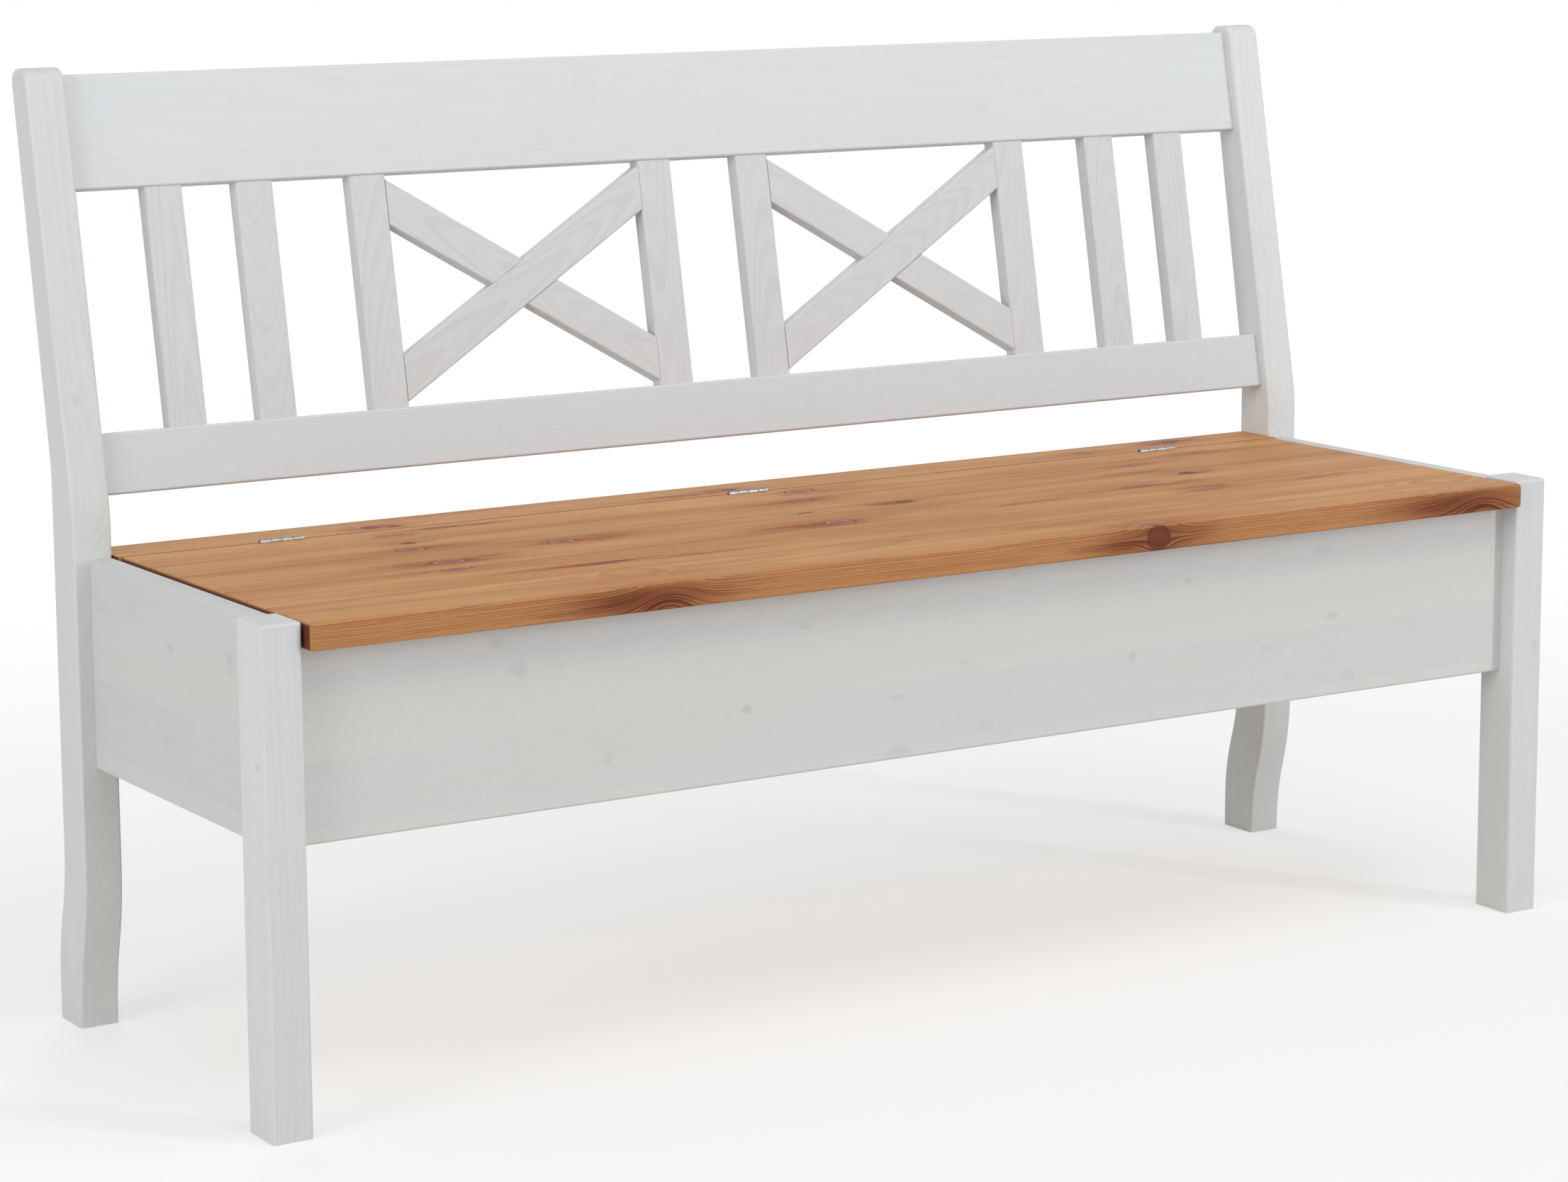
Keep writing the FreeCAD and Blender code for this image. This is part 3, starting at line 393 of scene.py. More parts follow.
def pine(name, finish, grain, across, heart, seed, ring=0.0026, waver=0.006, knots=(), board=None, seams=(),
         tone=0.5, **extra):
    material, tree, surface = newMaterial(name)
    turn, move = woodFrame(grain, across, heart)
    where = tree.nodes.new("ShaderNodeTexCoord")
    angles = turn.to_euler()
    inputs = {"Vector": where.outputs["Object"], "Location": move, "Rotation": angles}
    place = put(tree, "ShaderNodeMapping", inputs).outputs[0]
    inputs = {"Vector": where.outputs["Normal"], "Rotation": angles}
    face = put(tree, "ShaderNodeMapping", inputs, vector_type="VECTOR").outputs[0]
    bent, marks = place, (0.0, 0.0, 0.0)
    if knots:
        ragged = noise(tree, vectors(tree, "MULTIPLY", place, (70, 130, 130)), 2)
        rough = finishes[finish]["ragged"]
        ragged = maths(tree, "MULTIPLY_ADD", ragged.outputs[0], rough, -rough / 2)
    for knot in knots:
        centre = turn @ Vector(knot["at"]) + move
        outputs = useGroup(tree, knotGroup, Place=place, Bent=bent, Marks=marks, Ragged=ragged, Centre=centre,
                           Radii=knot["radii"], Pull=knot.get("pull", 0.9), Spread=knot.get("spread", 1.7),
                           Strength=knot.get("strength", 1.0), Flare=knot.get("flare", 0.5),
                           Drift=knot.get("drift", 0.0))
        bent, marks = outputs["Bent"], outputs["Marks"]
    seam = 0.0
    if board:
        boards = useGroup(tree, boardsGroup, Place=place, Seed=seed, BoardWidth=board)
        bent = vectors(tree, "ADD", bent, boards["Shift"])
        tone, seam = boards["Tone"], boards["Seam"]
    for line in seams:
        offset = maths(tree, "ABSOLUTE", maths(tree, "SUBTRACT", split(tree, place)[1], line - heart[1]))
        seam = maths(tree, "MAXIMUM", seam, ramp(tree, offset, 0.0015, 0.0004))
    wood = useGroup(tree, ringsGroup, Place=bent, Seed=seed, RingWidth=ring, Waver=waver)
    given = {"Rings": wood["Rings"], "Fibre": wood["Fibre"], "Cloud": wood["Cloud"], "Marks": marks, "Tone": tone}
    if finish in ("white", "honey"):
        given["Face"], given["Seam"] = face, seam
    if finish == "honey":
        given["Streak"] = wood["Streak"]
    look = useGroup(tree, finishes[finish]["group"], **given, **extra)
    finishSurface(tree, surface, look["Color"], look["Roughness"], look["Height"], finishes[finish]["bump"])
    surface.inputs["Specular IOR Level"].default_value = finishes[finish]["specular"]
    return material


def dress(node, material):
    for slot in nodes[node].material_slots:
        slot.material = material


def middle(node):
    low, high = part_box(node)
    return (low + high) / 2


alongX, alongY, alongZ = Vector((1, 0, 0)), Vector((0, 1, 0)), Vector((0, 0, 1))
lean = math.radians(11)
upBack = Vector((0, math.sin(lean), math.cos(lean)))  # up the leaning backrest
throughBack = Vector((0, math.cos(lean), -math.sin(lean)))


# Seat: five glued boards and the fixed strip, honey stained

def seatKnot(x, y, long=0.012, wide=0.006, **rest):
    return {"at": (x, y, 0.468), "radii": (long, wide, 0.03), **rest}


def edgeKnot(x, z, long, tall, deep=0.045, **rest):
    return {"at": (x, -0.272, z), "radii": (long, deep, tall), **rest}


def edgeFlare(x, z, long, tall, flare):  # dark grain beside a knot, with no knot in it
    return edgeKnot(x, z, long, tall, deep=0.010, pull=0.0, spread=1.2, strength=0.0, flare=flare)


seatLook = {
    "lid_board_1": {
        "heart": (-0.205, 0.378), "ring": 0.0019, "seed": 1.3, "tone": 0.55, "grain": 0.42,
        "knots": [
            edgeKnot(0.2265, 0.4592, 0.0135, 0.0120, deep=0.018, pull=0.95, spread=2.2, flare=0.95),
            edgeFlare(0.188, 0.455, 0.018, 0.007, 1.1),
            edgeFlare(0.262, 0.462, 0.014, 0.006, 0.8),
            edgeKnot(-0.342, 0.434, 0.019, 0.016, pull=1.25, spread=1.8, strength=0.0, flare=0.5),
            edgeFlare(-0.366, 0.457, 0.030, 0.011, 1.3),
            edgeFlare(-0.345, 0.448, 0.016, 0.012, 1.0),
            edgeKnot(0.655, 0.436, 0.030, 0.020, pull=1.2, spread=1.6, strength=0.0, flare=0.4),
            edgeFlare(0.622, 0.457, 0.032, 0.012, 1.3),
            edgeFlare(0.672, 0.452, 0.018, 0.008, 0.9),
        ],
    },
    "lid_board_2": {
        "heart": (-0.120, 0.400), "ring": 0.0030, "seed": 4.7, "tone": 0.62, "grain": 0.36,
        "knots": [
            seatKnot(-0.4700, -0.0964, 0.015, 0.008, flare=0.6, drift=-0.6),
            seatKnot(-0.340, -0.1453, 0.026, 0.0045, strength=1.7, flare=1.3, drift=-0.4),
            seatKnot(-0.262, -0.152, 0.026, 0.003, strength=0.5, flare=0.9, drift=1.0),
            seatKnot(0.4336, -0.0980, 0.010, 0.008, flare=0.8, drift=-1.4),
            seatKnot(0.405, -0.112, 0.012, 0.005, strength=0.6, flare=0.9, drift=1.0),
            seatKnot(0.555, -0.110, 0.014, 0.005, strength=0.3, flare=0.8, drift=1.0),
        ],
    },
    "lid_board_3": {
        "heart": (-0.035, 0.395), "ring": 0.0028, "seed": 7.9, "tone": 0.5, "grain": 0.40,
        "knots": [
            seatKnot(-0.457, -0.0560, 0.018, 0.009, strength=1.2, flare=1.2, drift=0.3),
            seatKnot(-0.312, -0.0161, 0.014, 0.009, flare=1.2, drift=1.7),
            seatKnot(-0.0239, -0.074, 0.018, 0.011, flare=1.2, drift=-1.6),
            seatKnot(0.1015, -0.0025, 0.009, 0.006, strength=2.0, flare=1.2, drift=-1.5),
            seatKnot(-0.0228, -0.006, 0.009, 0.003, strength=1.8),
            seatKnot(0.3685, -0.0582, 0.024, 0.006, strength=0.4, flare=1.2, drift=-0.6),
            seatKnot(0.4649, -0.0118, 0.011, 0.007, strength=2.0, flare=1.0),
            seatKnot(0.20, -0.078, 0.022, 0.004, strength=0.0, flare=0.8),
        ],
    },
    "lid_board_4": {
        "heart": (0.050, 0.520), "ring": 0.0027, "seed": 2.2, "tone": 0.42, "grain": 0.38,
        "knots": [
            seatKnot(-0.4568, 0.0225, 0.015, 0.009, flare=0.7, drift=1.5),
            seatKnot(-0.4422, 0.058, 0.007, 0.004, strength=1.9, flare=1.1),
            seatKnot(0.0128, 0.062, 0.014, 0.008, strength=0.8, flare=1.1, drift=-0.6),
            seatKnot(0.4306, 0.0213, 0.018, 0.005, strength=0.45, flare=0.8),
            seatKnot(0.447, 0.066, 0.010, 0.006, strength=0.5, flare=0.7),
        ],
    },
    "lid_board_5": {
        "heart": (0.100, 0.390), "ring": 0.0025, "seed": 9.4, "tone": 0.46, "grain": 0.40,
        "knots": [
            seatKnot(-0.4291, 0.1066, 0.014, 0.008, strength=0.5),
            seatKnot(-0.3733, 0.122, 0.018, 0.004, strength=1.6, flare=1.3, drift=0.5),
            seatKnot(0.0482, 0.1168, 0.016, 0.010, flare=0.9, drift=1.0),
            seatKnot(0.560, 0.100, 0.012, 0.006, strength=0.4, flare=0.8),
        ],
    },
    "seat_strip": {
        "heart": (0.170, 0.385), "ring": 0.0026, "seed": 5.6, "tone": 0.4, "grain": 0.42,
        "knots": [
            seatKnot(-0.4320, 0.1620, 0.008, 0.007, strength=1.8, flare=1.2),
            seatKnot(-0.4080, 0.1560, 0.006, 0.005, strength=1.8, flare=0.9),
            seatKnot(-0.0085, 0.1662, 0.008, 0.006, strength=2.0, flare=1.3, drift=-1.5),
            seatKnot(-0.0600, 0.1600, 0.020, 0.004, strength=0.3, flare=1.0),
            seatKnot(0.4549, 0.1676, 0.011, 0.006, flare=0.8),
            seatKnot(0.5872, 0.1821, 0.011, 0.008, strength=1.8, flare=1.3),
        ],
    },
}

lidBoards = ["lid_board_%d" % number for number in (1, 2, 3, 4, 5)]
for node, look in seatLook.items():
    y, z = look["heart"]
    low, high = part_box(node)
    seams = [low.y] if node in lidBoards[1:] else []
    seams += [high.y] if node in lidBoards[:-1] else []
    material = pine(node + "_pine", "honey", alongX, alongY, (0, y, z), look["seed"], look["ring"],
                    knots=look["knots"], seams=seams, tone=look["tone"], Grain=look["grain"])
    dress(node, material)

battenLook = {"lid_batten_1": {"seed": 3.3}, "lid_batten_2": {"seed": 6.1}, "lid_batten_3": {"seed": 8.8}}

for node, look in battenLook.items():
    heart = middle(node) + Vector((0.012, 0, 0.05))
    dress(node, pine(node + "_pine", "honey", alongY, alongX, heart, look["seed"], ring=0.0022, Grain=0.5))
print("seat dressed")


# White chest: panels glued up from boards, posts with the grain upright

def sideKnot(x, y, z, long=0.006, tall=0.005, **rest):
    return {"at": (x, y, z), "radii": (long, tall, 0.03), **rest}


def panelKnot(x, z, long=0.006, tall=0.005, y=-0.2415, **rest):
    return sideKnot(x, y, z, long, tall, **rest)


panelLook = {
    "front_panel": {
        "board": 0.0607, "heart": (0, -0.23, 0.278), "seed": 3.0, "grain": 0.14, "cream": 0.5, "bright": 0.965,
        "knots": [
            panelKnot(-0.507, 0.427, 0.007, 0.006, strength=0.7),
            panelKnot(-0.4835, 0.400, 0.009, 0.008, strength=0.8),
            panelKnot(-0.239, 0.335, 0.005, 0.005, strength=1.0),
            panelKnot(-0.392, 0.306, 0.007, 0.006, strength=0.6),
            panelKnot(-0.1725, 0.408, 0.006, 0.005, strength=0.5),
            panelKnot(-0.0667, 0.325, 0.009, 0.004, strength=0.7),
            panelKnot(-0.067, 0.272, 0.016, 0.006, strength=0.6),
            panelKnot(0.012, 0.351, 0.006, 0.005, strength=0.7),
            panelKnot(0.218, 0.333, 0.005, 0.005, strength=1.0),
            panelKnot(0.288, 0.4045, 0.006, 0.005, strength=0.5),
            panelKnot(0.4757, 0.349, 0.008, 0.004, strength=0.7),
            panelKnot(0.391, 0.3235, 0.008, 0.004, strength=0.6),
            panelKnot(0.4996, 0.284, 0.009, 0.006, strength=0.5),
            panelKnot(0.038, 0.285, 0.010, 0.006, strength=0.5),
            panelKnot(0.464, 0.419, 0.010, 0.005, strength=0.4),
        ],
    },
    "back_panel": {
        "board": 0.0607, "heart": (0, 0.18, 0.29), "seed": 12.0, "grain": 0.2, "cream": 0.45, "bright": 0.97,
        "knots": [
            panelKnot(-0.55, 0.39, 0.009, 0.006, y=0.19),
            panelKnot(-0.31, 0.30, 0.007, 0.006, y=0.19, strength=0.8),
            panelKnot(0.02, 0.37, 0.008, 0.006, y=0.19),
            panelKnot(0.27, 0.42, 0.006, 0.005, y=0.19, strength=0.8),
            panelKnot(0.48, 0.33, 0.009, 0.007, y=0.19),
        ],
    },
    "side_panel_left": {
        "board": 0.068, "heart": (-0.72, 0, 0.285), "seed": 5.0, "grain": 0.2, "cream": 0.35, "bright": 0.89,
        "knots": [
            sideKnot(-0.734, 0.061, 0.436, 0.010, 0.004, strength=0.8),
            sideKnot(-0.734, -0.160, 0.421, 0.009, 0.009, strength=0.8),
            sideKnot(-0.734, -0.027, 0.411, 0.005, 0.004, strength=0.8),
            sideKnot(-0.734, -0.013, 0.321, 0.009, 0.006, strength=0.4),
        ],
    },
    "side_panel_right": {
        "board": 0.068, "heart": (0.72, 0, 0.300), "seed": 8.0, "grain": 0.2, "cream": 0.35, "bright": 0.93,
        "knots": [
            sideKnot(0.734, 0.04, 0.40, 0.008, 0.006),
            sideKnot(0.734, -0.12, 0.33, 0.007, 0.006, strength=0.8),
            sideKnot(0.734, -0.06, 0.44, 0.006, 0.005, strength=0.7),
        ],
    },
}

for node, look in panelLook.items():
    grain = alongY if node.startswith("side") else alongX
    material = pine(node + "_pine", "white", grain, alongZ, look["heart"], look["seed"], ring=0.0030,
                    knots=look["knots"], board=look["board"], Grain=look["grain"], Cream=look["cream"],
                    Bright=look["bright"])
    dress(node, material)

postLook = {
    "front_post_left": {"seed": 1.0, "knots": [{"at": (-0.751, -0.249, 0.3426), "radii": (0.005, 0.03, 0.003)}]},
    "front_post_right": {"seed": 2.6, "knots": [{"at": (0.741, -0.262, 0.2924), "radii": (0.005, 0.003, 0.03)}]},
    "rear_post_left": {"seed": 4.1, "bright": 0.97, "knots": [
        {"at": (-0.735, 0.18, 0.62), "radii": (0.007, 0.005, 0.03), "strength": 0.25}]},
    # bright 1.03 is painted light: it lightens the right rear post in place of the light the chest keeps from it
    "rear_post_right": {"seed": 6.4, "bright": 1.03, "knots": [
        {"at": (0.73, 0.19, 0.70), "radii": (0.007, 0.005, 0.03), "strength": 0.25}]},
}

for node, look in postLook.items():
    grain = alongZ if node.startswith("front") else Vector((0, 0.19, 1))
    heart = middle(node) + Vector((0.032 if "left" in node else -0.036, 0.055, 0))
    dress(node, pine(node + "_pine", "white", grain, alongX, heart, look["seed"], ring=0.0022, knots=look["knots"],
                     Grain=0.26, Cream=0.1, Bright=look.get("bright", 1.0)))
print("chest dressed")


# Backrest: rails along X, slats and stiles up the lean, cross bars along their own slope

# bright lifts the rails, the top rail most; that lift is partly painted light. cool is partly a painted cool cast
# against the honey lid's warm bounced light
railLook = {
    "top_rail": {"seed": 3.7, "away": 0.09, "bright": 1.04, "cool": 0.6, "knots": [
        {"at": (-0.1350, 0.22, 0.905), "radii": (0.012, 0.006, 0.03), "strength": 0.2},
        {"at": (0.36, 0.21, 0.86), "radii": (0.006, 0.005, 0.03), "strength": 0.3}]},
    "lower_rail": {"seed": 9.1, "away": 0.07, "bright": 1.02, "cool": 1.0, "knots": [
        {"at": (0.10, 0.17, 0.56), "radii": (0.006, 0.004, 0.03), "strength": 0.3}]},
}

for node, look in railLook.items():
    heart = middle(node) + throughBack * look["away"] + upBack * 0.02
    dress(node, pine(node + "_pine", "white", alongX, upBack, heart, look["seed"], ring=0.0030, knots=look["knots"],
                     Grain=0.10, Cream=0.04, Cool=look["cool"], Bright=look["bright"]))

# aside and away place the pith beside and behind each slat; drift tilts its grain, which gives the arched figure
slatLook = {
    "slat_1": {"aside": 0.004, "away": 0.030, "drift": 0.03, "seed": 1.9},
    "slat_2": {"aside": -0.002, "away": 0.034, "drift": -0.10, "seed": 5.3},
    "slat_3": {"aside": 0.010, "away": 0.028, "drift": 0.06, "seed": 8.2},
    "slat_4": {"aside": -0.012, "away": 0.026, "drift": -0.04, "seed": 3.1},
    "stile_1": {"aside": 0.012, "away": 0.034, "drift": 0.09, "seed": 7.7},
    "stile_2": {"aside": -0.008, "away": 0.024, "drift": -0.05, "seed": 2.8},
    "stile_3": {"aside": 0.007, "away": 0.034, "drift": 0.05, "seed": 6.6},
    "stile_4": {"aside": -0.014, "away": 0.030, "drift": -0.07, "seed": 4.4},
}

for node, look in slatLook.items():
    heart = middle(node) + alongX * look["aside"] + throughBack * look["away"]
    grain = upBack + throughBack * look["drift"]
    dress(node, pine(node + "_pine", "white", grain, alongX, heart, look["seed"], ring=0.0030, waver=0.012,
                     Grain=0.42, Cream=0.06, Cool=0.5, Bright=0.97))

barLook = {
    "cross_bar_left_front": {"seed": 2.4, "drift": 0.05},
    "cross_bar_left_back": {"seed": 5.9, "drift": -0.06},
    "cross_bar_right_front": {"seed": 7.2, "drift": 0.08},
    "cross_bar_right_back": {"seed": 9.6, "drift": -0.04},
}

barWidth = 0.045
for node, look in barLook.items():
    low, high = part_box(node)
    rise = (high.z - low.z - barWidth) / math.cos(lean)
    slope = upBack * rise * (1 if node.endswith("front") else -1) + alongX * (high.x - low.x)
    slope = slope.normalized() + throughBack * look["drift"]
    heart = middle(node) + throughBack * 0.03
    dress(node, pine(node + "_pine", "white", slope, upBack, heart, look["seed"], ring=0.0030, waver=0.012,
                     Grain=0.40, Cream=0.06, Cool=0.5, Bright=0.96))
print("backrest dressed")


# Hidden woodwork: unfinished cleats, plywood floor, dowels

hiddenLook = {
    "floor_cleat_front": {"grain": alongX, "seed": 1.1},
    "floor_cleat_back": {"grain": alongX, "seed": 2.9},
    "floor_cleat_left": {"grain": alongY, "seed": 4.3},
    "floor_cleat_right": {"grain": alongY, "seed": 6.7},
    "strip_cleat": {"grain": alongX, "seed": 8.3},
    "cross_dowels": {"grain": alongX, "seed": 3.9},
}

for node, look in hiddenLook.items():
    heart = middle(node) + Vector((0, 0.02, 0.03))
    dress(node, pine(node + "_pine", "plain", look["grain"], alongZ, heart, look["seed"], ring=0.0022))

plyLook = {
    "light": (216, 184, 138), "dark": (190, 150, 104), "glue": (120, 84, 56),
    "ply": 0.0018, "ring": 0.0016, "waver": 0.03, "heart": (0, 0.03, 0.19),
    "rough": (0.6, 0.75), "bump": 0.0002,
}


def makePlywood():
    look = {name: colour(*plyLook[name]) for name in ("light", "dark", "glue")}
    material, tree, surface = newMaterial("chest_floor_plywood")
    where = tree.nodes.new("ShaderNodeTexCoord")
    place = where.outputs["Object"]
    wood = useGroup(tree, ringsGroup, Place=vectors(tree, "ADD", place, plyLook["heart"]), Seed=4.0,
                    RingWidth=plyLook["ring"], Waver=plyLook["waver"])
    level = maths(tree, "DIVIDE", split(tree, place)[2], plyLook["ply"])
    layer = maths(tree, "ABSOLUTE", maths(tree, "SUBTRACT", maths(tree, "FRACT", level), 0.5))
    rim = ramp(tree, maths(tree, "ABSOLUTE", split(tree, where.outputs["Normal"])[2]), 0.8, 0.3)
    shade = mixed(tree, times(tree, wood["Rings"], 0.35), look["light"], look["dark"])
    shade = mixed(tree, times(tree, ramp(tree, wood["Fibre"], 0.4, 0.8), 0.25), shade, look["dark"])
    shade = mixed(tree, times(tree, ramp(tree, layer, 0.38, 0.48), rim), shade, look["glue"])
    rough = ramp(tree, wood["Fibre"], 0.2, 0.8, *plyLook["rough"])
    finishSurface(tree, surface, shade, rough, wood["Fibre"], plyLook["bump"])
    return material


dress("chest_floor", makePlywood())
print("hidden woodwork dressed")


# Zinc-plated steel for hinges and screws

steelLook = {
    "bright": (158, 160, 164), "dull": (116, 118, 122), "rough": (0.26, 0.42), "bump": 0.00004,
    "plateLines": (300, 6000, 6000), "screwLines": (2500, 2500, 2500), "screwShade": 0.9,
}


def makeSteel(name, brushing, shade=1.0):
    material, tree, surface = newMaterial(name)
    place = tree.nodes.new("ShaderNodeTexCoord").outputs["Object"]
    lines = noise(tree, vectors(tree, "MULTIPLY", place, brushing), 3, 0.6).outputs[0]
    clouds = noise(tree, place, 3, 0.5, 180.0).outputs[0]
    bright = tuple(value * shade for value in colour(*steelLook["bright"])[:3]) + (1,)
    zinc = mixed(tree, ramp(tree, clouds, 0.35, 0.7, 0.0, 0.6), bright, colour(*steelLook["dull"]))
    surface.inputs["Metallic"].default_value = 1.0
    finishSurface(tree, surface, zinc, ramp(tree, lines, 0.2, 0.8, *steelLook["rough"]), lines, steelLook["bump"])
    return material


hingeSteel = makeSteel("hinge_plate_steel", steelLook["plateLines"])
screwSteel = makeSteel("screw_zinc_steel", steelLook["screwLines"], steelLook["screwShade"])
for node in nodes:
    if node.startswith("hinge_leaf"):
        dress(node, hingeSteel)


# Geometry Nodes: points go in, a piece is set on each of them, a plain mesh comes out

def newShape(name, sizes):
    tree = bpy.data.node_groups.new(name, "GeometryNodeTree")
    tree.interface.new_socket("Geometry", in_out="INPUT", socket_type="NodeSocketGeometry")
    for label, value in sizes.items():
        tree.interface.new_socket(label, in_out="INPUT", socket_type="NodeSocketFloat").default_value = value
    tree.interface.new_socket("Material", in_out="INPUT", socket_type="NodeSocketMaterial")
    tree.interface.new_socket("Geometry", in_out="OUTPUT", socket_type="NodeSocketGeometry")
    return tree, tree.nodes.new("NodeGroupInput").outputs


def setOnPoints(tree, given, piece, aim):
    turn = put(tree, "FunctionNodeAlignRotationToVector", {"Vector": aim}, axis="Z").outputs[0]
    inputs = {"Points": given["Geometry"], "Instance": piece, "Rotation": turn}
    placed = put(tree, "GeometryNodeInstanceOnPoints", inputs).outputs[0]
    real = put(tree, "GeometryNodeRealizeInstances", {"Geometry": placed}).outputs[0]
    done = put(tree, "GeometryNodeSetMaterial", {"Geometry": real, "Material": given["Material"]})
    tree.links.new(done.outputs[0], tree.nodes.new("NodeGroupOutput").inputs["Geometry"])


def gathered(tree, parts):
    whole = tree.nodes.new("GeometryNodeJoinGeometry")
    for part in parts:
        tree.links.new(part, whole.inputs[0])
    return whole.outputs[0]


def grown(name, points, tree, inputs):  # runs the tree on the points and keeps the result as a plain mesh
    holder = inScene(name + "_holder", points)
    modifier = holder.modifiers.new(tree.name, "NODES")
    modifier.node_group = tree
    for item in tree.interface.items_tree:
        if item.item_type == "SOCKET" and item.in_out == "INPUT" and item.name in inputs:
            modifier[item.identifier] = inputs[item.name]
    bpy.context.view_layer.update()
    mesh = bpy.data.meshes.new_from_object(holder.evaluated_get(bpy.context.evaluated_depsgraph_get()))
    bpy.data.objects.remove(holder)
    return inScene(name, mesh)


# Screws: one tree makes a crossed head, a threaded shank and a point, and sets it on every seat

woodScrew = {"shank": 0.0035, "head": 0.0070, "rise": 0.0022, "pitch": 0.0016}
leafScrew = {"shank": 0.0030, "head": 0.0050, "rise": 0.0008, "pitch": 0.0016}
screwLook = {
    "floor_cleat_screws": {"body": "bench", **woodScrew},
    "strip_cleat_screws": {"body": "bench", **woodScrew},
    "lid_batten_screws": {"body": "lid", **woodScrew},
    "hinge_screws_fixed": {"body": "bench", **leafScrew},
    "hinge_screws_lid": {"body": "lid", **leafScrew},
}


def screwTree():
    sizes = {"Shank": 0.0035, "Head": 0.007, "Rise": 0.0022, "Length": 0.03, "Pitch": 0.0016}
    tree, given = newShape("screwsOnSeats", sizes)

    def moved(geometry, z):
        inputs = {"Geometry": geometry, "Translation": joined(tree, 0.0, 0.0, z)}
        return put(tree, "GeometryNodeTransform", inputs).outputs[0]

    def cone(top, bottom, depth, steps):
        inputs = {"Vertices": steps, "Radius Top": top, "Radius Bottom": bottom, "Depth": depth}
        return put(tree, "GeometryNodeMeshCone", inputs).outputs["Mesh"]

    # z points out of the head, z = 0 is the seat under it
    headRadius = times(tree, given["Head"], 0.5)
    head = cone(times(tree, headRadius, 0.72), headRadius, given["Rise"], 28)
    slotWide = times(tree, given["Head"], 0.13)
    slotLong = times(tree, given["Head"], 0.56)
    slotDeep = times(tree, given["Rise"], 1.1)
    cutters = []
    for size in (joined(tree, slotLong, slotWide, slotDeep), joined(tree, slotWide, slotLong, slotDeep)):
        cutters.append(moved(put(tree, "GeometryNodeMeshCube", {"Size": size}).outputs[0], given["Rise"]))
    slotted = put(tree, "GeometryNodeMeshBoolean", {"Mesh 1": head}, operation="DIFFERENCE", solver="EXACT")
    tree.links.new(gathered(tree, cutters), slotted.inputs["Mesh 2"])
    core = times(tree, given["Shank"], 0.34)
    straight = times(tree, given["Length"], 0.86)
    point = times(tree, given["Length"], 0.14)
    shank = moved(cone(core, core, straight, 12), times(tree, straight, -1.0))
    tip = moved(cone(core, 0.0001, point, 12), times(tree, given["Length"], -1.0))
    turns = maths(tree, "DIVIDE", straight, given["Pitch"])
    inputs = {"Resolution": 10, "Rotations": turns, "Start Radius": core, "End Radius": core, "Height": straight}
    helix = put(tree, "GeometryNodeCurveSpiral", inputs).outputs[0]
    inputs = {"Resolution": 3, "Radius": times(tree, given["Shank"], 0.13)}
    ridge = put(tree, "GeometryNodeCurvePrimitiveCircle", inputs).outputs[0]
    inputs = {"Curve": helix, "Profile Curve": ridge, "Fill Caps": True}
    thread = moved(put(tree, "GeometryNodeCurveToMesh", inputs).outputs[0], times(tree, straight, -1.0))
    whole = gathered(tree, (slotted.outputs["Mesh"], shank, tip, thread))
    aim = put(tree, "GeometryNodeInputNamedAttribute", {"Name": "aim"}, data_type="FLOAT_VECTOR").outputs[0]
    setOnPoints(tree, given, whole, aim)
    return tree


def screwSeats(node):  # seat, outward direction and shank length of every screw solid in a node
    mesh = bmesh.new()
    mesh.from_mesh(nodes[node].data)
    bmesh.ops.remove_doubles(mesh, verts=mesh.verts, dist=1e-6)
    seats, left = [], set(mesh.verts)
    while left:
        island, edge = set(), [left.pop()]
        while edge:
            vert = edge.pop()
            island.add(vert)
            for link in vert.link_edges:
                other = link.other_vert(vert)
                if other in left:
                    left.remove(other)
                    edge.append(other)
        points = [vert.co for vert in island]
        low = Vector([min(point[axis] for point in points) for axis in range(3)])
        high = Vector([max(point[axis] for point in points) for axis in range(3)])
        axis = max(range(3), key=lambda index: high[index] - low[index])
        centre = (low + high) / 2

        def width(value):
            return max(((point - centre).length_squared - (point[axis] - centre[axis]) ** 2) for point in points
                       if abs(point[axis] - value) < 1e-5)
        way = 1 if width(high[axis]) > width(low[axis]) else -1
        aim = Vector([way if index == axis else 0 for index in range(3)])
        seat = centre.copy()
        seat[axis] = (high if way > 0 else low)[axis] - way * screwLook[node]["rise"]
        seats.append((seat, aim, high[axis] - low[axis] - screwLook[node]["rise"]))
    mesh.free()
    return sorted(seats, key=lambda seat: tuple(round(value, 5) for value in seat[0]))


def setScrews(node, tree):
    look = screwLook[node]
    sizes = {"Shank": look["shank"], "Head": look["head"], "Rise": look["rise"], "Pitch": look["pitch"]}
    seats = screwSeats(node)
    byLength = {}
    for seat, aim, length in seats:
        byLength.setdefault(round(length, 4), []).append((seat, aim))
    made = []
    for length, group in byLength.items():
        points = bpy.data.meshes.new(node + "_seats")
        points.from_pydata([seat for seat, aim in group], [], [])
        aims = points.attributes.new("aim", "FLOAT_VECTOR", "POINT")
        for index, (seat, aim) in enumerate(group):
            aims.data[index].vector = aim
        made.append(grown(node + "_detailed", points, tree, {**sizes, "Length": length, "Material": screwSteel}))
    whole = made[0]
    if len(made) > 1:
        mesh = bmesh.new()
        for piece in made:
            mesh.from_mesh(piece.data)
        mesh.to_mesh(whole.data)
        mesh.free()
        for piece in made[1:]:
            bpy.data.objects.remove(piece)
    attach(whole, look["body"])
    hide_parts(node)
    print(node, len(seats), "screws", len(whole.data.polygons), "faces")


screws = screwTree()
for node in screwLook:
    setScrews(node, screws)


# Hinge pins with rounded ends, one tree for all three

pinLook = {"radius": 0.0015, "dome": 0.0007}


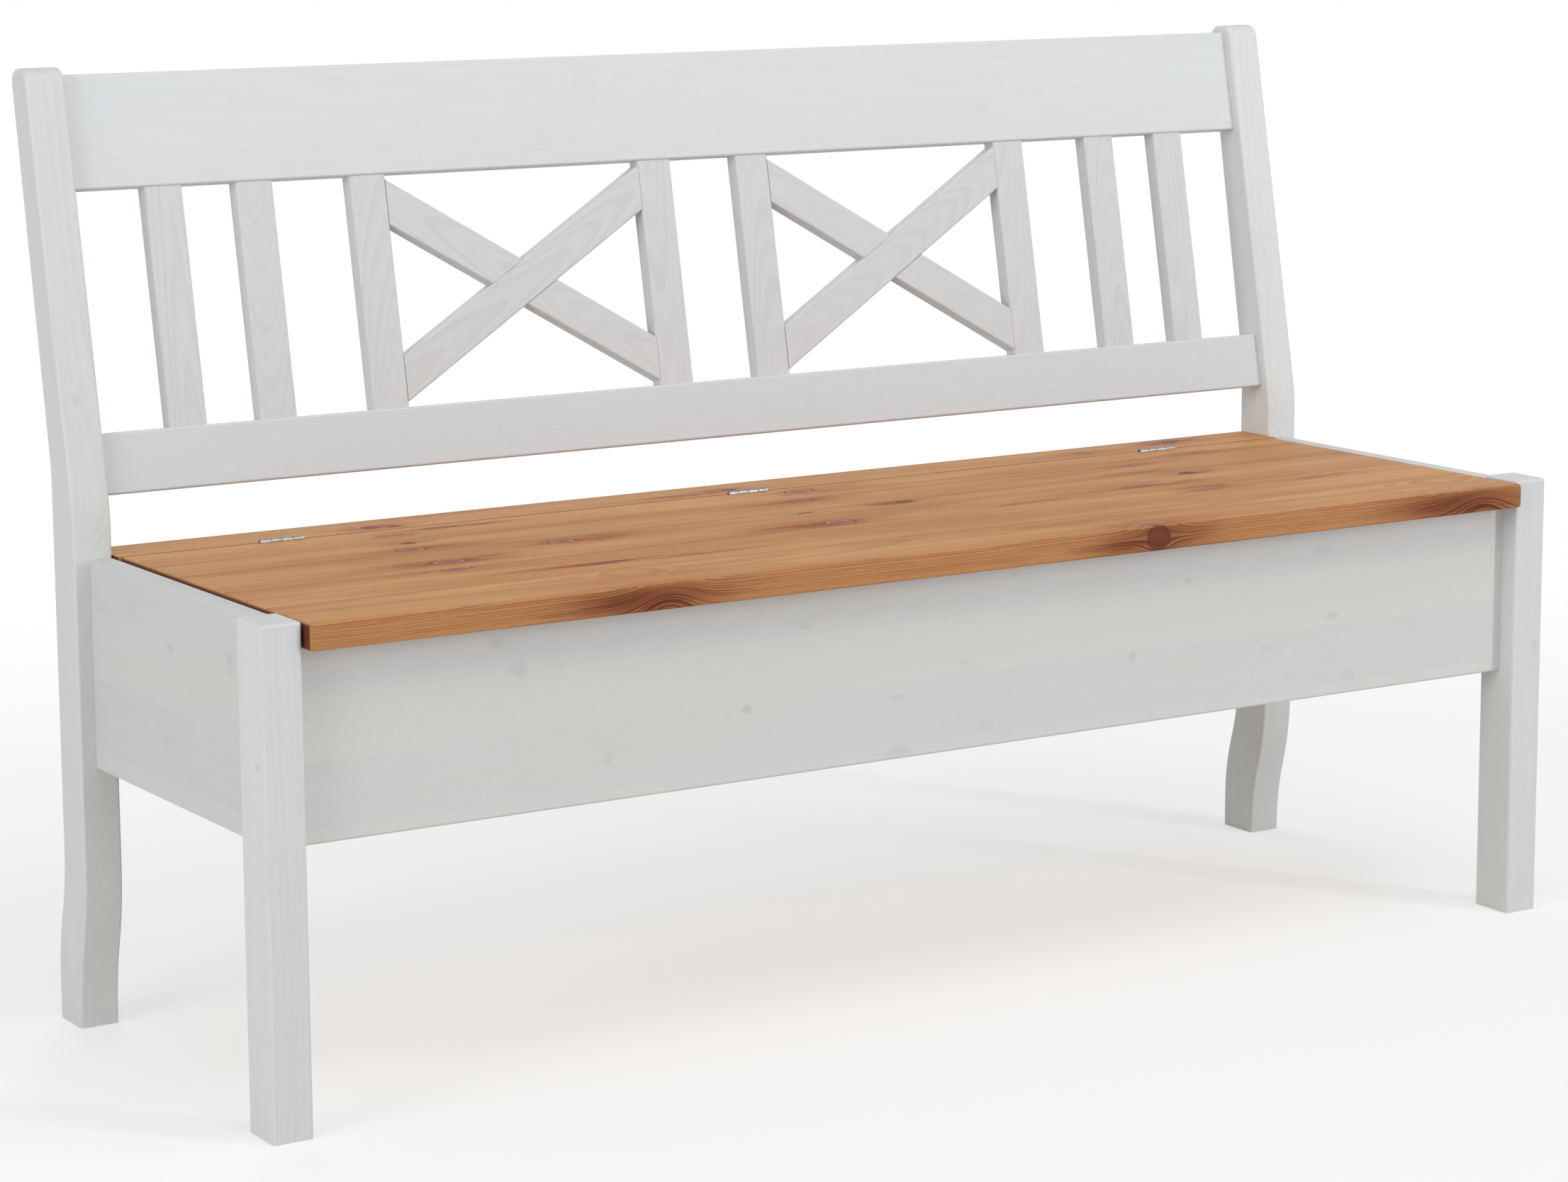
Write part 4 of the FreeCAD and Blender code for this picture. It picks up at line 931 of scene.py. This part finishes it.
def pinTree():
    tree, given = newShape("hingePins", {"Radius": 0.0015, "Length": 0.047, "Dome": 0.0007})
    straight = maths(tree, "SUBTRACT", given["Length"], times(tree, given["Dome"], 2.0))
    inputs = {"Vertices": 24, "Radius": given["Radius"], "Depth": straight}
    parts = [put(tree, "GeometryNodeMeshCylinder", inputs, fill_type="NONE").outputs["Mesh"]]
    for way in (1.0, -1.0):
        inputs = {"Segments": 24, "Rings": 12, "Radius": given["Radius"]}
        ball = put(tree, "GeometryNodeMeshUVSphere", inputs).outputs["Mesh"]
        squeeze = joined(tree, 1.0, 1.0, maths(tree, "DIVIDE", given["Dome"], given["Radius"]))
        lift = joined(tree, 0.0, 0.0, times(tree, straight, 0.5 * way))
        inputs = {"Geometry": ball, "Scale": squeeze, "Translation": lift}
        parts.append(put(tree, "GeometryNodeTransform", inputs).outputs[0])
    smooth = put(tree, "GeometryNodeSetShadeSmooth", {"Geometry": gathered(tree, parts)}).outputs[0]
    setOnPoints(tree, given, smooth, (1.0, 0.0, 0.0))
    return tree


def setPins():
    names = ["hinge_pin_%d" % number for number in (1, 2, 3)]
    low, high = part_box(names[0])
    points = bpy.data.meshes.new("pin_places")
    points.from_pydata([middle(name) for name in names], [], [])
    inputs = {"Radius": pinLook["radius"], "Length": high.x - low.x, "Dome": pinLook["dome"], "Material": hingeSteel}
    pins = grown("hinge_pins_domed", points, pinTree(), inputs)
    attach(pins, "bench")
    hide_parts(*names)


setPins()
print("hinges and screws made")


# Floor: pale, keeps the bench's shadow near it and fades to plain white further out

floorLook = {
    "reach": 60.0, "below": 0.0005, "shade": (250, 250, 250), "bounce": (225, 225, 225),
    "fadeAt": (0.9, 2.6), "fade": (0.5, 1.0),
}


def makeFloor():
    mesh = bpy.data.meshes.new("studio_floor")
    reach = floorLook["reach"]
    corners = [(-reach, -reach, 0), (reach, -reach, 0), (reach, reach, 0), (-reach, reach, 0)]
    mesh.from_pydata(corners, [], [(0, 1, 2, 3)])
    floor = inScene("studio_floor", mesh)
    floor.location.z = -floorLook["below"]
    material, tree, surface = newMaterial("studio_floor")
    camera = tree.nodes.new("ShaderNodeLightPath").outputs["Is Camera Ray"]
    shade = mixed(tree, camera, colour(*floorLook["bounce"]), colour(*floorLook["shade"]))
    tree.links.new(shade, surface.inputs["Base Color"])
    surface.inputs["Roughness"].default_value = 0.9
    surface.inputs["Specular IOR Level"].default_value = 0.0
    glow = put(tree, "ShaderNodeEmission", {"Color": (1, 1, 1, 1), "Strength": 1.0}).outputs[0]
    place = tree.nodes.new("ShaderNodeTexCoord").outputs["Object"]
    far = ramp(tree, vectors(tree, "LENGTH", place), *floorLook["fadeAt"], *floorLook["fade"])
    blend = put(tree, "ShaderNodeMixShader", {0: times(tree, far, camera), 1: surface.outputs[0], 2: glow})
    tree.links.new(blend.outputs[0], tree.nodes["Material Output"].inputs["Surface"])
    mesh.materials.append(material)


makeFloor()


# Studio light: even white surroundings, a tall lamp at the right front whose upright edges cast
# the posts' narrow shadows, and broad soft lamps at the left, above and behind

lightLook = {
    "world": 0.45,
    "lamps": {
        "tallRight": {"at": (3.6, -5.2, 2.0), "to": (0.1, 0, 0.5), "size": (0.5, 3.2), "watts": 106},
        "broadLeft": {"at": (-4.9, -1.3, 1.6), "to": (0, 0, 0.5), "size": (2.6, 2.2), "watts": 90},
        "overhead": {"at": (0.2, -1.5, 3.1), "to": (0, 0, 0.4), "size": (3.2, 1.8), "watts": 34},
        "behind": {"at": (0.6, 3.8, 2.0), "to": (0, 0, 0.5), "size": (3.0, 1.8), "watts": 46, "gleams": False},
    },
}


def makeLights():
    world = bpy.data.worlds.new("studio")
    bpy.context.scene.world = world
    world.use_nodes = True
    tree = world.node_tree
    background = tree.nodes["Background"]
    background.inputs["Color"].default_value = (1, 1, 1, 1)
    path = tree.nodes.new("ShaderNodeLightPath").outputs
    seen = maths(tree, "MAXIMUM", path["Is Glossy Ray"], path["Is Transmission Ray"])
    seen = maths(tree, "MAXIMUM", path["Is Camera Ray"], seen)
    strength = maths(tree, "MULTIPLY_ADD", seen, 1.0 - lightLook["world"], lightLook["world"])
    tree.links.new(strength, background.inputs["Strength"])
    for name, lamp in lightLook["lamps"].items():
        data = bpy.data.lights.new(name, "AREA")
        data.shape = "RECTANGLE"
        data.size, data.size_y = lamp["size"]
        data.energy = lamp["watts"]
        light = inScene(name, data)
        light.location = lamp["at"]
        light.rotation_euler = (Vector(lamp["to"]) - Vector(lamp["at"])).to_track_quat("-Z", "Y").to_euler()
        light.visible_glossy = lamp.get("gleams", True)


makeLights()


# Camera at the photograph's viewing angle

cameraLook = {
    "at": (-2.24072, -3.48211, 1.14708),
    "turn": -0.56279,
    "tilt": -0.16526,
    "roll": -0.00526,
    "lens": 94.132,
    "shift": -0.0425,
}


def makeCamera():
    data = bpy.data.cameras.new("photographView")
    data.sensor_width = 36
    data.lens = cameraLook["lens"]
    data.shift_y = cameraLook["shift"]
    data.clip_end = 200
    camera = inScene("photographView", data)
    camera.location = cameraLook["at"]
    turn = Matrix.Rotation(cameraLook["turn"], 3, "Z") @ Matrix.Rotation(math.pi / 2 + cameraLook["tilt"], 3, "X")
    camera.rotation_euler = (turn @ Matrix.Rotation(cameraLook["roll"], 3, "Z")).to_euler()
    bpy.context.scene.camera = camera


makeCamera()
bpy.context.scene.view_settings.view_transform = "Standard"
print("studio ready")
